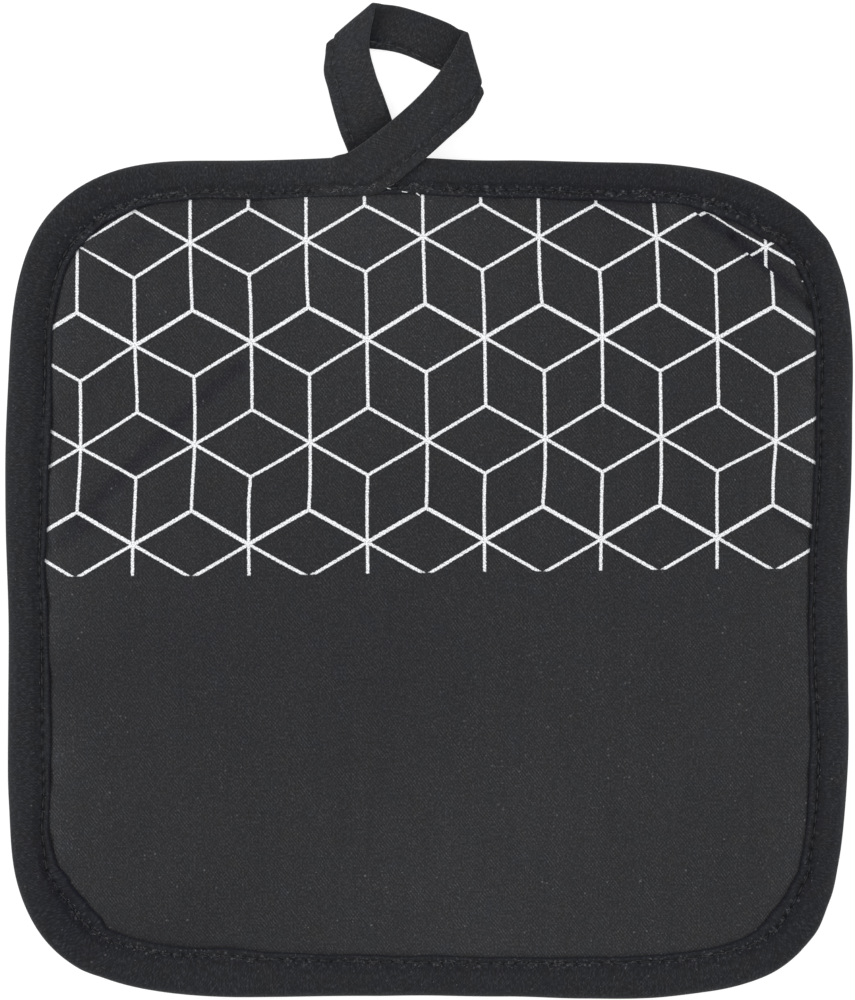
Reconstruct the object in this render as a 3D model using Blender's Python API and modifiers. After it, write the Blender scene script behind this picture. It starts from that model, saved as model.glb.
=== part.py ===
"""Quilted pot holder, lying face up on a table.

A filled cotton pad with rounded corners, a binding tape folded over its edge all round, and a
hanging loop made of the same tape, folded flat twice so that it leaves a three-cornered gap.

The tables and constants are in millimetres and MM turns them into Blender's metres. X runs to
the right across the face, Y runs up towards the loop and Z stands up off the table. The origin
is on the table, under the middle of the whole outline with its loop.
"""
import math

import bpy
import bmesh
import numpy as np

MM = 0.001

# ---------------------------------------------------------------- sizes
PAD_CENTRE = (0.23, -18.5)     # the loop reaches past the top edge, so the pad sits low
HALF_WIDTH = 100.0             # of the bound edge
HALF_HEIGHT = 98.8
SQUARENESS = 5.6               # exponent of the outline: 2 is an ellipse, a large one a square

TAPE_THICK = 1.2               # the binding's two layers of cloth
GAP = 0.3                      # between one piece and the next
FACE_EDGE_Z = 6.0              # height of the face just inside the hem
FACE_MID_Z = 8.6               # height of the crown
CROWN_REACH = 42.0             # how far in from the hem the crown still rises
QUARTER = 28                   # mesh steps along each side of the pad

LOOP_THICK = 1.8               # the tape folded and stitched flat: four layers
LOOP_STEPS = 6                 # mesh steps across the loop's tape
LOOP_ENDS_TAPER = 0.45         # share of that thickness left where it is sewn down
LOOP_STANDS_OFF = 1.4          # the stiff tape bridges the binding's rounded edge

# The cut and handling make the edge wander. It is measured outwards from the smooth outline,
# by direction from the pad's centre, anticlockwise from the right.
EDGE_WANDER = (
    # degrees, outwards
    (0, -1.6), (20, -0.45), (33, 0.25), (40, -0.1), (47, -1.5), (60, -0.6), (66, -0.8),
    (80, -0.7), (92, -0.1), (100, 0.0), (110, -0.5), (126, 0.7), (136, -0.2), (150, -0.7),
    (170, 0.0), (192, -1.0), (208, -0.5), (221, 0.2), (231, -0.4), (240, 0.0), (262, -0.7),
    (290, 0.15), (308, 0.2), (317, -0.4), (328, -1.7), (336, -1.3), (348, -1.5),
)

# How far in from the edge the binding's hem reaches, by the same direction. The wide stretch at
# 222 degrees is where the tape was laid straight across the lower left corner.
HEM_WIDTH = (
    # degrees, width
    (0, 9.1), (20, 8.5), (35, 9.9), (43, 9.9), (60, 8.8), (80, 8.8), (90, 8.3), (100, 8.4),
    (118, 8.8), (127, 10.0), (135, 10.9), (147, 9.8), (160, 10.4), (180, 9.1), (200, 10.2),
    (210, 9.3), (216, 10.2), (222, 12.3), (228, 11.2), (240, 10.9), (260, 9.5), (280, 9.3),
    (297, 9.8), (314, 11.0), (325, 8.7), (335, 9.4), (350, 8.9),
)

# The binding's outer skin in cross-section, from the hem over the top, round the edge and back
# underneath. "share" is of the way from the edge (0) to the hem (1), and "in" adds to it.
BINDING_SKIN = (
    # share, in, height
    (1.00, 0.0, 5.45),         # cut edge of the hem
    (1.00, -1.6, 4.90),        # pulled down by the stitching
    (1.00, -3.3, 5.95),
    (0.42, 0.0, 6.60),         # fullest part of the roll
    (0.00, 1.4, 5.90),
    (0.00, 0.3, 4.50),
    (0.00, 0.0, 3.30),         # outermost
    (0.00, 0.3, 2.00),
    (0.00, 1.4, 0.60),
    (0.00, 3.0, 0.00),
    (1.00, 0.0, 0.00),
)

# The pad's rim in cross-section, from the face down round the wadding's edge to the back.
PAD_RIM = (
    # share, in, height
    (1.00, 2.2, 5.15),
    (1.00, 0.6, 3.80),
    (1.00, -1.6, 3.15),        # nipped by the stitching
    (1.00, -3.3, 4.05),
    (0.42, 0.2, 4.85),
    (0.00, 2.5, 4.20),
    (0.00, 1.7, 3.20),
    (0.00, 2.4, 2.00),
    (0.42, 0.0, 1.50),
    (1.00, 0.8, 1.50),
    (1.00, 3.0, 0.30),
    (1.00, 6.0, 0.00),         # the back lies on the table from here in
    (1.00, 19.0, 0.00),
)
FACE_INSET = 4.4               # where the face starts, in from the hem

# The tail of the tape passes under the top edge and is sewn there, which lifts the edge a little.
TAIL_LIFT = dict(x=-10.5, half_width=9.5, ramp=9.0, height=2.3, depth=9.5, fade=9.0)
SQUEEZE = 0.4                  # share of that lift lost between the underside and the top

# Soft troughs (depth > 0) pressed into the face, each along a line.
CREASES = (
    # x0, y0, x1, y1, half width, depth
    (-86.0, -8.5, -32.0, 41.0, 5.5, 0.55),     # long slant across the upper left
    (-83.0, 25.0, -60.0, 40.0, 4.5, 0.35),
    (68.0, 66.0, 87.0, 49.5, 2.6, 1.00),       # tuck across the upper right corner
    (82.0, -2.5, 89.5, -9.0, 3.6, 0.60),       # dent at the right edge
    (66.0, -17.0, 92.0, -24.0, 8.0, 0.35),
)

# Broad, shallow swells of the wadding.
SWELLS = (
    # x, y, radius, height
    (-8.0, 55.0, 30.0, 0.35),
    (-22.0, -32.0, 34.0, -0.40),
    (36.0, -70.0, 34.0, 0.30),
    (60.0, 66.0, 16.0, 0.45),
    (-55.0, -75.0, 26.0, 0.20),
)

# The loop's tape, in the order in which it runs: each row is one ruling across the tape, from
# its plain edge A to its stitched edge B, at the height z of the middle of the cloth.
FRONT = (
    # ax, ay, bx, by, z          leaves the binding at the upper left and climbs to the right
    (-22.5, 81.0, -22.0, 71.4, 6.6),
    (-17.5, 82.8, -14.0, 72.3, 7.2),
    (-8.6, 89.6, -4.5, 77.1, 7.0),
    (-1.2, 96.6, 4.6, 85.3, 5.4),
    (4.0, 103.3, 8.8, 90.0, 4.0),
    (7.2, 108.8, 10.6, 93.2, 3.3),
)
ACROSS = (
    # ax, ay, bx, by, z          runs back to the left underneath it, on the table
    (6.9, 110.8, 9.9, 97.2, 0.93),
    (4.1, 112.3, 6.0, 99.6, 0.93),
    (-2.0, 114.6, 0.0, 102.3, 0.93),
    (-7.2, 116.0, -8.5, 105.4, 0.93),
    (-11.3, 116.7, -21.0, 107.0, 0.93),
)
DOWN = (
    # ax, ay, bx, by, z          turns down over it and passes behind the pad's top edge
    (-12.9, 115.0, -22.9, 105.5, 3.3),
    (-14.1, 107.5, -24.6, 101.0, 3.3),
    (-12.8, 101.0, -24.0, 97.0, 2.3),
    (-11.1, 96.4, -22.9, 92.6, 1.3),
    (-8.8, 89.8, -21.2, 87.0, 0.93),
    (-6.4, 82.0, -18.9, 81.0, 0.93),
    (-4.2, 73.4, -16.6, 72.4, 0.93),
)


# ---------------------------------------------------------------- curves and ramps
def smooth(t):
    """0 to 1 with level ends."""
    t = np.clip(t, 0.0, 1.0)
    return t * t * (3.0 - 2.0 * t)


def round_the_clock(table, degrees):
    """Smooth value at a direction, through a table of (degrees, value)."""
    at = np.array([row[0] for row in table], float)
    value = np.array([row[1] for row in table], float)
    at = np.concatenate([at - 360.0, at, at + 360.0])
    value = np.tile(value, 3)
    k = np.clip(np.searchsorted(at, np.asarray(degrees) % 360.0, side="right") - 1, 0, len(at) - 2)
    t = smooth((np.asarray(degrees) % 360.0 - at[k]) / (at[k + 1] - at[k]))
    return value[k] * (1.0 - t) + value[k + 1] * t


def through(rows, steps):
    """Points of a smooth curve through rows of numbers, with so many steps from row to row."""
    rows = np.array(rows, float)
    ends = np.vstack([2 * rows[0] - rows[1], rows, 2 * rows[-1] - rows[-2]])
    points = []
    for k in range(1, len(ends) - 2):
        a, b, c, d = ends[k - 1:k + 3]
        for t in np.arange(steps) / steps:
            points.append(0.5 * (2 * b + (c - a) * t + (2 * a - 5 * b + 4 * c - d) * t ** 2
                                 + (3 * b - a - 3 * c + d) * t ** 3))
    points.append(rows[-1])
    return np.array(points)


# ---------------------------------------------------------------- the bound edge
class Edge:
    """The outline of the bound pad. Station 0 is at the lower right corner and each side has
    QUARTER stations, anticlockwise; a station may be a fraction."""

    def __init__(self):
        degrees = np.arange(-45.0, 315.0, 0.125)
        angle = np.radians(degrees)
        reach = ((np.abs(np.cos(angle)) / HALF_WIDTH) ** SQUARENESS
                 + (np.abs(np.sin(angle)) / HALF_HEIGHT) ** SQUARENESS) ** (-1.0 / SQUARENESS)
        reach = reach + round_the_clock(EDGE_WANDER, degrees)
        self.points = np.stack([PAD_CENTRE[0] + reach * np.cos(angle),
                                PAD_CENTRE[1] + reach * np.sin(angle)], 1)
        ahead = np.roll(self.points, -8, 0) - np.roll(self.points, 8, 0)
        ahead /= np.linalg.norm(ahead, axis=1)[:, None]
        self.inward = np.stack([-ahead[:, 1], ahead[:, 0]], 1)
        self.hem = round_the_clock(HEM_WIDTH, degrees)

        # Stations are evenly spaced along each side, and every fourth part ends at a corner.
        length = np.concatenate([[0.0], np.cumsum(
            np.linalg.norm(np.diff(self.points, axis=0), axis=1))])
        corner = length[np.searchsorted(degrees, [-45.0, 45.0, 135.0, 225.0])]
        total = length[-1] + np.linalg.norm(self.points[0] - self.points[-1])
        self.station = np.interp(length, np.append(corner, total), np.arange(5) * QUARTER)

    def at(self, station):
        """Point on the edge, direction inwards and width of the hem at each station."""
        station = np.asarray(station, float) % (4 * QUARTER)
        read = lambda column: np.interp(station, self.station, column, period=4 * QUARTER)
        point = np.stack([read(self.points[:, 0]), read(self.points[:, 1])], -1)
        inward = np.stack([read(self.inward[:, 0]), read(self.inward[:, 1])], -1)
        return point, inward / np.linalg.norm(inward, axis=-1, keepdims=True), read(self.hem)

    def inset(self, station, share, extra):
        point, inward, hem = self.at(station)
        return point + inward * (share * hem + extra)[..., None]

    def depth(self, x, y):
        """How far inside the edge a point is; negative outside."""
        away = np.array([x, y]) - self.points
        nearest = np.argmin((away ** 2).sum(1))
        return float(away[nearest] @ self.inward[nearest])


EDGE = Edge()
TOP_OF_ROLL = max(row[2] for row in BINDING_SKIN)


def lift(x, y, squeezed):
    """Rise of a point that lies over the loop's sewn tail. The underside rises in full, and
    squeezed, from 0 to 1, says how far up through the springy layers a point is."""
    along = smooth((TAIL_LIFT["half_width"] + TAIL_LIFT["ramp"] - np.abs(x - TAIL_LIFT["x"]))
                   / TAIL_LIFT["ramp"])
    top_edge = PAD_CENTRE[1] + HALF_HEIGHT
    across = smooth((y - (top_edge - TAIL_LIFT["depth"] - TAIL_LIFT["fade"])) / TAIL_LIFT["fade"])
    return TAIL_LIFT["height"] * along * across * (1.0 - SQUEEZE * np.clip(squeezed, 0, 1))


def face_height(x, y, inside):
    """Height of the face; inside runs from 0 at its edge to 1 at the middle."""
    z = FACE_EDGE_Z + (FACE_MID_Z - FACE_EDGE_Z) * (
        1.0 - (1.0 - np.clip(inside * HALF_WIDTH / CROWN_REACH, 0, 1)) ** 2)
    for x0, y0, x1, y1, half_width, depth in CREASES:
        run = np.array([x1 - x0, y1 - y0])
        along = ((x - x0) * run[0] + (y - y0) * run[1]) / (run @ run)
        away = math.hypot(x - x0 - np.clip(along, 0, 1) * run[0],
                          y - y0 - np.clip(along, 0, 1) * run[1])
        z -= depth * math.exp(-(away / half_width) ** 2)
    for sx, sy, radius, height in SWELLS:
        z += height * math.exp(-((x - sx) ** 2 + (y - sy) ** 2) / radius ** 2)
    return z


# ---------------------------------------------------------------- making objects
def material(name, rgb, roughness):
    made = bpy.data.materials.new(name)
    made.use_nodes = True
    shader = made.node_tree.nodes["Principled BSDF"]
    shader.inputs["Base Color"].default_value = (*rgb, 1.0)
    shader.inputs["Roughness"].default_value = roughness
    shader.inputs["Metallic"].default_value = 0.0
    return made


def piece(name, bm, finish):
    mesh = bpy.data.meshes.new(name)
    bmesh.ops.recalc_face_normals(bm, faces=bm.faces)
    bm.to_mesh(mesh)
    bm.free()
    mesh.shade_smooth()
    mesh.materials.append(finish)
    made = bpy.data.objects.new(name, mesh)
    COLLECTION.objects.link(made)
    return made


def rings_of(section, stations, low, high):
    """One closed ring of points for each row of a cross-section, in metres. Between the heights
    low and high the layers take up the squeeze over the loop's tail."""
    for share, extra, z in section:
        flat = EDGE.inset(stations, share, extra)
        up = (z - low) / (high - low)
        yield [(x * MM, y * MM, (z + lift(x, y, up)) * MM) for x, y in flat]


def loft(bm, rings):
    """Skins neighbouring closed rings, and returns the vertices of each ring."""
    made = [[bm.verts.new(co) for co in ring] for ring in rings]
    for low, high in zip(made, made[1:]):
        for k in range(len(low)):
            n = (k + 1) % len(low)
            bm.faces.new((low[k], low[n], high[n], high[k]))
    return made


# ---------------------------------------------------------------- the pieces
def make_pad(finish):
    """The face is a square grid drawn out to the rounded outline; the rim and back are lofted on."""
    bm = bmesh.new()
    bmesh.ops.create_grid(bm, x_segments=QUARTER, y_segments=QUARTER, size=1.0)
    border = {}
    for vert in bm.verts:
        u, v = vert.co.x, vert.co.y
        level = max(abs(u), abs(v))
        station = 0.0
        if level > 1e-6:
            u, v = u / level, v / level
            if u > 1 - 1e-6:
                station = (1 + v) / 2
            elif v > 1 - 1e-6:
                station = 1 + (1 - u) / 2
            elif u < -1 + 1e-6:
                station = 2 + (1 - v) / 2
            else:
                station = 3 + (1 + u) / 2
        station *= QUARTER
        if level > 1 - 1e-6:
            border[round(station) % (4 * QUARTER)] = vert
        x, y = PAD_CENTRE + level * (EDGE.inset(station, 1.0, np.array(FACE_INSET)) - PAD_CENTRE)
        z = face_height(x, y, 1.0 - level)
        vert.co = (x * MM, y * MM, (z + lift(x, y, 1.0)) * MM)
    stations = np.arange(4 * QUARTER)
    made = loft(bm, rings_of(PAD_RIM, stations, low=1.5, high=3.15))
    face = [border[k] for k in stations]
    for k in stations:
        n = (k + 1) % (4 * QUARTER)
        bm.faces.new((face[k], face[n], made[0][n], made[0][k]))
    bm.faces.new(made[-1])
    return piece("pad", bm, finish)


def make_binding(finish):
    """The tape's outer skin, given its thickness inwards."""
    bm = bmesh.new()
    loft(bm, rings_of(BINDING_SKIN, np.arange(4 * QUARTER), low=0.0, high=TOP_OF_ROLL))
    made = piece("binding", bm, finish)
    shell = made.modifiers.new("Tape", "SOLIDIFY")
    shell.thickness = TAPE_THICK * MM
    shell.offset = -1.0
    shell.use_even_offset = True
    return made


def roll_height(x, y):
    """Height of the binding's and face's outer surface under a point near the top edge."""
    deep = EDGE.depth(x, y) + LOOP_STANDS_OFF
    hem = 9.0
    across = [(share * hem + extra, z) for share, extra, z in BINDING_SKIN[6::-1]]
    across.append((hem + 1.5, 5.0))
    inward, height = zip(*across)
    z = float(np.interp(deep, inward, height, left=-50.0))
    return z + float(lift(x, y, z / TOP_OF_ROLL)) if deep > 0 else -50.0


def loop_rulings():
    """Rows of (ax, ay, bx, by, z) along the loop's tape, with a half turn at each fold."""
    front, across, down = (through(rows, 4) for rows in (FRONT, ACROSS, DOWN))
    rows = list(front)
    for before, after, side in ((front, across, 1.0), (across, down, -1.0)):
        half = (before[-1] - after[0]) / 2
        crease = before[-1][2:4] - before[-1][:2]
        out = side * np.array([-crease[1], crease[0]]) / np.hypot(*crease) * abs(half[4])
        for degrees in (30, 60, 90, 120, 150):
            turn = math.radians(degrees)
            ruling = before[-1] - half * degrees / 90
            ruling[4] = after[0][4] + half[4] * (1 + math.cos(turn))
            ruling[:4] += np.tile(out * math.sin(turn), 2)
            rows.append(ruling)
        rows += list(after)
    return rows


def make_loop(finish):
    """An open strip swept along the rulings, given its thickness both ways."""
    rulings = loop_rulings()
    last = len(rulings) - 1
    bm = bmesh.new()
    bmesh.ops.create_grid(bm, x_segments=last, y_segments=LOOP_STEPS, size=1.0)
    sewn = []
    for vert in bm.verts:
        row = round((vert.co.x + 1) / 2 * last)
        t = (vert.co.y + 1) / 2
        ax, ay, bx, by, z = rulings[row]
        x, y = ax + (bx - ax) * t, ay + (by - ay) * t
        if row < 4 * (len(FRONT) - 1):             # lies over the binding where it crosses it
            clear = roll_height(x, y) + GAP + 0.3 + LOOP_THICK / 2
            z = 0.5 * (z + clear + math.hypot(z - clear, 1.0))
        vert.co = (x * MM, y * MM, z * MM)
        sewn.append(LOOP_ENDS_TAPER + (1 - LOOP_ENDS_TAPER) * float(smooth(min(row, last - row) / 5)))
    made = piece("hanging_loop", bm, finish)
    weights = made.vertex_groups.new(name="Full thickness")
    for index, weight in enumerate(sewn):
        weights.add([index], weight, "REPLACE")
    shell = made.modifiers.new("Tape", "SOLIDIFY")
    shell.thickness = LOOP_THICK * MM
    shell.offset = 0.0
    shell.vertex_group = weights.name
    return made


for leftover in list(bpy.data.objects):
    bpy.data.objects.remove(leftover, do_unlink=True)
COLLECTION = bpy.data.collections.new("Pot holder")
bpy.context.scene.collection.children.link(COLLECTION)

make_pad(material("Charcoal printed twill", (0.034, 0.034, 0.037), 0.9))
make_binding(material("Black cotton tape", (0.026, 0.027, 0.030), 0.9))
make_loop(material("Black cotton tape, stitched flat", (0.028, 0.029, 0.032), 0.9))
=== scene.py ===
# %% [markdown]
# # A quilted pot holder, seen from straight above
# The object is a square pad of printed charcoal cloth over wadding, a black tape folded over
# its edge, and a hanging loop folded from the same tape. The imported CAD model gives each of
# them as a plain solid. This lesson turns the three solids into cloth, then adds thread,
# lint and the printed line pattern. Everything is measured in the CAD's own frame: X runs to
# the right, Y runs towards the loop and Z stands up off the table.

import functools
import math

import bmesh
import bpy
import numpy as np
from mathutils import Matrix, Vector


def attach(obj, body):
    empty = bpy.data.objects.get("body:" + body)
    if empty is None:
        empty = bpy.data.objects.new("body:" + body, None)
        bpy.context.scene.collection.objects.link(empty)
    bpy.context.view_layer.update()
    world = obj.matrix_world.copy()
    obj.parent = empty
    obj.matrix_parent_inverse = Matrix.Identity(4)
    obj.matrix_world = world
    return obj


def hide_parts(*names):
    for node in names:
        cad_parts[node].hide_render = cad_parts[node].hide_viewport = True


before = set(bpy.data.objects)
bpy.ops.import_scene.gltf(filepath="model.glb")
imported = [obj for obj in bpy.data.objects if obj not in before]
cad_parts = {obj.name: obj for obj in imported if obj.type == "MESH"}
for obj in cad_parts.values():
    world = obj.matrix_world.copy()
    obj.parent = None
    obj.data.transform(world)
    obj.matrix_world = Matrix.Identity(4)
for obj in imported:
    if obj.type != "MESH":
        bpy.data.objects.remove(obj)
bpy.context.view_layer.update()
MM = 0.001                     # the tables below are in millimetres

# %% [markdown]
# ## Camera
# The holder lies flat and the camera hangs over it, so the picture is close to a plan. A long
# lens from a metre up keeps it that way and still gives the real object's slight perspective.
# The picture's long side covers the sensor's 36 mm, so the distance follows from the lens.

# %% Camera
MM_PER_PIXEL = 0.23557         # from the body's real width, 200 mm
PICTURE = (855, 1000)
ORIGIN_PIXEL = (429.5, 499.5)  # the pixel over the frame's origin
LENS, SENSOR = 150.0, 36.0
MEAN_HEIGHT = 6.0              # of the cloth that the scale was measured on

camera = bpy.data.objects.new("Camera", bpy.data.cameras.new("Camera"))
bpy.context.scene.collection.objects.link(camera)
camera.data.lens, camera.data.sensor_width = LENS, SENSOR
distance = MM_PER_PIXEL * PICTURE[1] * LENS / SENSOR
camera.location = ((PICTURE[0] / 2 - ORIGIN_PIXEL[0]) * MM_PER_PIXEL * MM,
                   (ORIGIN_PIXEL[1] - PICTURE[1] / 2) * MM_PER_PIXEL * MM,
                   (distance + MEAN_HEIGHT) * MM)
bpy.context.scene.camera = camera
print(f"camera {distance:.0f} mm above the cloth")

# %% [markdown]
# ## Floor and light
# A product table is a pale sweep under soft boxes. The relief in the cloth says where they
# stood: slopes that face left are the brightest, those that face right come next. So there
# is a large soft box on the left, a weaker one on the right, and a pale room all round. The
# floor glows a little by itself, like a light table, which leaves hardly any shadow.

# %% Floor
FLOOR_HALF_WIDTH, FLOOR_DROP = 2.5, 0.0001     # metres; it lies just under the cloth
FLOOR_COLOUR, FLOOR_GLOW = (0.35, 0.35, 0.35), 0.80


def new_object(name, bm, finish):
    """An object with one finish, from a bmesh, which is used up."""
    mesh = bpy.data.meshes.new(name)
    bm.to_mesh(mesh)
    bm.free()
    mesh.materials.append(finish)
    mesh.shade_smooth()
    made = bpy.data.objects.new(name, mesh)
    bpy.context.scene.collection.objects.link(made)
    return made


def plain_material(name, colour, roughness):
    """A material of one colour, and its shader's inputs."""
    made = bpy.data.materials.new(name)
    made.use_nodes = True
    shader = made.node_tree.nodes["Principled BSDF"].inputs
    shader["Base Color"].default_value = (*colour, 1.0)
    shader["Roughness"].default_value = roughness
    return made, shader


bm = bmesh.new()
bmesh.ops.create_grid(bm, x_segments=1, y_segments=1, size=FLOOR_HALF_WIDTH,
                      matrix=Matrix.Translation((0, 0, -FLOOR_DROP)))
table, glow = plain_material("Pale table", FLOOR_COLOUR, roughness=0.95)
glow["Emission Color"].default_value = (1.0, 1.0, 1.0, 1.0)
glow["Emission Strength"].default_value = FLOOR_GLOW
new_object("floor", bm, table)
print(f"floor {2 * FLOOR_HALF_WIDTH:.0f} m wide")

# %% Lights
ROOM_COLOUR, ROOM_STRENGTH = (0.98, 0.99, 1.0, 1.0), 0.50
SOFT_BOXES = (  # name, place and width in metres, watts
    ("left_box", (-0.95, 0.12, 0.62), 0.8, 7.5),
    ("right_box", (0.95, -0.1, 0.66), 0.8, 5.6),
    ("top_box", (0.0, 0.5, 1.5), 1.0, 3.0),
)

bpy.context.scene.view_settings.view_transform = "Standard"
room = bpy.data.worlds.new("Pale room")
room.use_nodes = True
air = room.node_tree.nodes["Background"].inputs
air["Color"].default_value = ROOM_COLOUR
air["Strength"].default_value = ROOM_STRENGTH
bpy.context.scene.world = room


def soft_box(name, place, width, watts):
    """A square area light that looks at the middle of the holder."""
    lamp = bpy.data.lights.new(name, "AREA")
    lamp.size, lamp.energy = width, watts
    made = bpy.data.objects.new(name, lamp)
    bpy.context.scene.collection.objects.link(made)
    made.location = place
    made.rotation_mode = "QUATERNION"
    made.rotation_quaternion = (-Vector(place)).to_track_quat("-Z", "Y")


for box in SOFT_BOXES:
    soft_box(*box)
print(len(SOFT_BOXES), "soft boxes in a pale room")

# %% [markdown]
# ## The bound edge
# The tape's outer edge is a rounded square that handling has pushed in and out by a
# millimetre or so. One curve serves the pad, the tape and the stitching: a superellipse, the
# measured wander by direction, and the width of the hem and of its loose flap. A *station*
# counts along it, 28 to a side, from the lower right corner anticlockwise.

# %% Sizes of the edge
PAD_CENTRE = np.array((0.23, -18.5))
HALF_WIDTH, HALF_HEIGHT = 100.0, 98.8
SQUARENESS = 5.6
QUARTER = 28                   # stations to a side
ALL_ROUND = 4 * QUARTER

EDGE_WANDER = (  # degrees, outwards
    (0, -1.6), (20, -0.4), (33, 0.5), (40, 0.0), (43, -0.92), (47, -1.55), (60, -0.55), (66, -0.7),
    (80, -0.33), (92, 0.25), (100, 0.25), (110, -0.25), (126, 1.0), (136, 0.3), (150, 0.0),
    (170, 0.35), (192, -0.45), (208, 0.1), (216, 0.95), (221, 0.8),
    (228, 0.76), (231, 0.28), (240, 0.5), (250, 0.28), (262, -0.15), (268, -0.25), (280, 0.07),
    (290, 0.54), (298, 1.0), (304, 0.62), (310, 0.5), (317, -0.25), (321, -1.18), (325, -1.7),
    (336, -1.3), (348, -1.5),
)
HEM_WIDTH = (  # degrees, from the outer edge to the hem's fold
    (0, 8.9), (14, 8.7), (24, 8.5), (34, 8.7), (41, 9.5), (43.5, 9.6), (47, 10.55), (52, 10.2), (58, 9.3),
    (68, 9.1), (76, 8.7), (86, 8.8), (94, 8.5), (102, 9.0), (112, 9.1), (118, 9.2), (124, 9.8),
    (130, 10.3), (135, 10.85), (142, 10.2), (149, 9.8), (156, 10.6), (168, 10.2), (180, 9.1),
    (190, 9.5), (200, 10.1), (206, 10.0), (211, 9.2), (215, 10.1), (218, 11.85), (222, 13.3),
    (226, 13.1), (230, 11.4), (236, 11.1), (244, 11.5), (250, 10.6), (259, 9.85), (268, 9.45),
    (280, 9.45), (292, 9.8), (298, 10.3), (303, 10.0), (309, 10.2), (314, 10.9), (318, 11.0), (321, 9.9),
    (324, 8.6), (327, 8.6), (334, 9.1), (340, 8.8), (348, 9.1), (355, 9.3),
)
FLAP_WIDTH = (  # degrees, from the stitching to the hem's fold
    (6, 1.2), (22, 1.1), (31, 1.4), (40, 2.0), (52, 2.5), (63, 1.9), (79, 1.8), (96, 1.5),
    (112, 1.4), (122, 1.5), (131, 1.8), (135, 2.0), (148, 1.5), (163, 1.9), (180, 1.3),
    (200, 1.9), (207, 1.4), (212, 1.7), (218, 3.2), (225, 3.6), (230, 2.4), (236, 2.0),
    (243, 1.9), (255, 1.5), (270, 1.6), (292, 1.4), (306, 1.7), (316, 3.0), (322, 2.4),
    (327, 1.7), (333, 2.0), (349, 1.2),
)
FACE_RIM = (  # degrees, share added to the face's brightness beside the hem: wear and painted light, and painted shade where it is below zero
    (0, 0.24), (20, 0.42), (33, 0.22), (45, 0.0), (63, -0.24), (74, -0.16), (81, -0.04),
    (94, 0.05), (107, -0.02), (118, -0.12), (130, 0.05), (144, 0.30), (152, 0.28), (160, 0.22),
    (175, 0.42), (186, 0.32), (193, 0.04), (200, 0.44), (212, 0.40), (218, 0.10), (226, 0.0),
    (238, -0.10), (246, 0.0), (260, 0.05), (280, 0.07), (310, 0.10), (330, 0.24),
    (345, 0.20), (352, 0.28),
)
print(f"pad about {2 * HALF_WIDTH:.0f} x {2 * HALF_HEIGHT:.0f} mm")

# %% The edge as a curve
LOOK_AHEAD = 8                 # samples to either side of a point that give its direction


def smooth(t):
    """Smooth step from 0, at 0, to 1, at 1."""
    t = np.clip(t, 0.0, 1.0)
    return t * t * (3.0 - 2.0 * t)


def round_the_clock(table, degrees):
    """Smooth value at a direction, through a table of (degrees, value)."""
    at = np.array([row[0] for row in table], float)
    at = np.concatenate([at - 360.0, at, at + 360.0])
    value = np.tile([row[1] for row in table], 3)
    degrees = np.asarray(degrees) % 360.0
    k = np.searchsorted(at, degrees, side="right") - 1
    t = smooth((degrees - at[k]) / (at[k + 1] - at[k]))
    return value[k] * (1.0 - t) + value[k + 1] * t


def run_along(points):
    """Distance travelled at each point of a line."""
    return np.concatenate([[0.0], np.cumsum(np.linalg.norm(np.diff(points, axis=0), axis=1))])


DEGREES = np.arange(-45.0, 315.0, 0.125)
outwards = np.stack([np.cos(np.radians(DEGREES)), np.sin(np.radians(DEGREES))], 1)
reach = ((np.abs(outwards) / (HALF_WIDTH, HALF_HEIGHT)) ** SQUARENESS).sum(1) ** (-1.0 / SQUARENESS)
reach += round_the_clock(EDGE_WANDER, DEGREES)
OUTLINE = PAD_CENTRE + reach[:, None] * outwards
ahead = np.roll(OUTLINE, -LOOK_AHEAD, 0) - np.roll(OUTLINE, LOOK_AHEAD, 0)
INWARD = np.stack([-ahead[:, 1], ahead[:, 0]], 1) / np.linalg.norm(ahead, axis=1)[:, None]
travelled = run_along(OUTLINE)
once_round = travelled[-1] + np.linalg.norm(OUTLINE[0] - OUTLINE[-1])
corners = travelled[np.searchsorted(DEGREES, [-45.0, 45.0, 135.0, 225.0])]
STATION = np.interp(travelled, np.append(corners, once_round), np.arange(5) * QUARTER)
HEM, FLAP, RIM = (round_the_clock(rows, DEGREES) for rows in (HEM_WIDTH, FLAP_WIDTH, FACE_RIM))
print(f"bound edge {once_round:.0f} mm long")


# %% Reading the edge
def read(column, station):
    """Value of one of the edge's columns at a station."""
    return np.interp(np.asarray(station, float) % ALL_ROUND, STATION, column, period=ALL_ROUND)


def widths(station):
    """Width of the hem and of its flap."""
    return read(HEM, station), read(FLAP, station)


def inset(station, inwards):
    """Point so far in from the edge, and the direction inwards there."""
    turn = np.stack([read(INWARD[:, 0], station), read(INWARD[:, 1], station)], -1)
    turn /= np.linalg.norm(turn, axis=-1, keepdims=True)
    edge = np.stack([read(OUTLINE[:, 0], station), read(OUTLINE[:, 1], station)], -1)
    return edge + turn * np.asarray(inwards)[..., None], turn


print(f"mean hem {HEM.mean():.1f} mm, mean flap {FLAP.mean():.1f} mm")

# %% Lift over the sewn tail, and small unevenness
TAIL = dict(x=-10.5, half_width=9.5, ramp=9.0, height=2.3, depth=9.5, fade=9.0, taken_up=0.4)
WAVES = 7


def lift(x, y, squeezed):
    """The loop's tail is sewn under the top edge. The underside rises over it in full and
    the top by less, because the layers between take up the squeeze."""
    along = smooth((TAIL["half_width"] + TAIL["ramp"] - np.abs(x - TAIL["x"])) / TAIL["ramp"])
    top_edge = PAD_CENTRE[1] + HALF_HEIGHT
    across = smooth((y - (top_edge - TAIL["depth"] - TAIL["fade"])) / TAIL["fade"])
    return TAIL["height"] * along * across * (1.0 - TAIL["taken_up"] * np.clip(squeezed, 0, 1))


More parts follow.
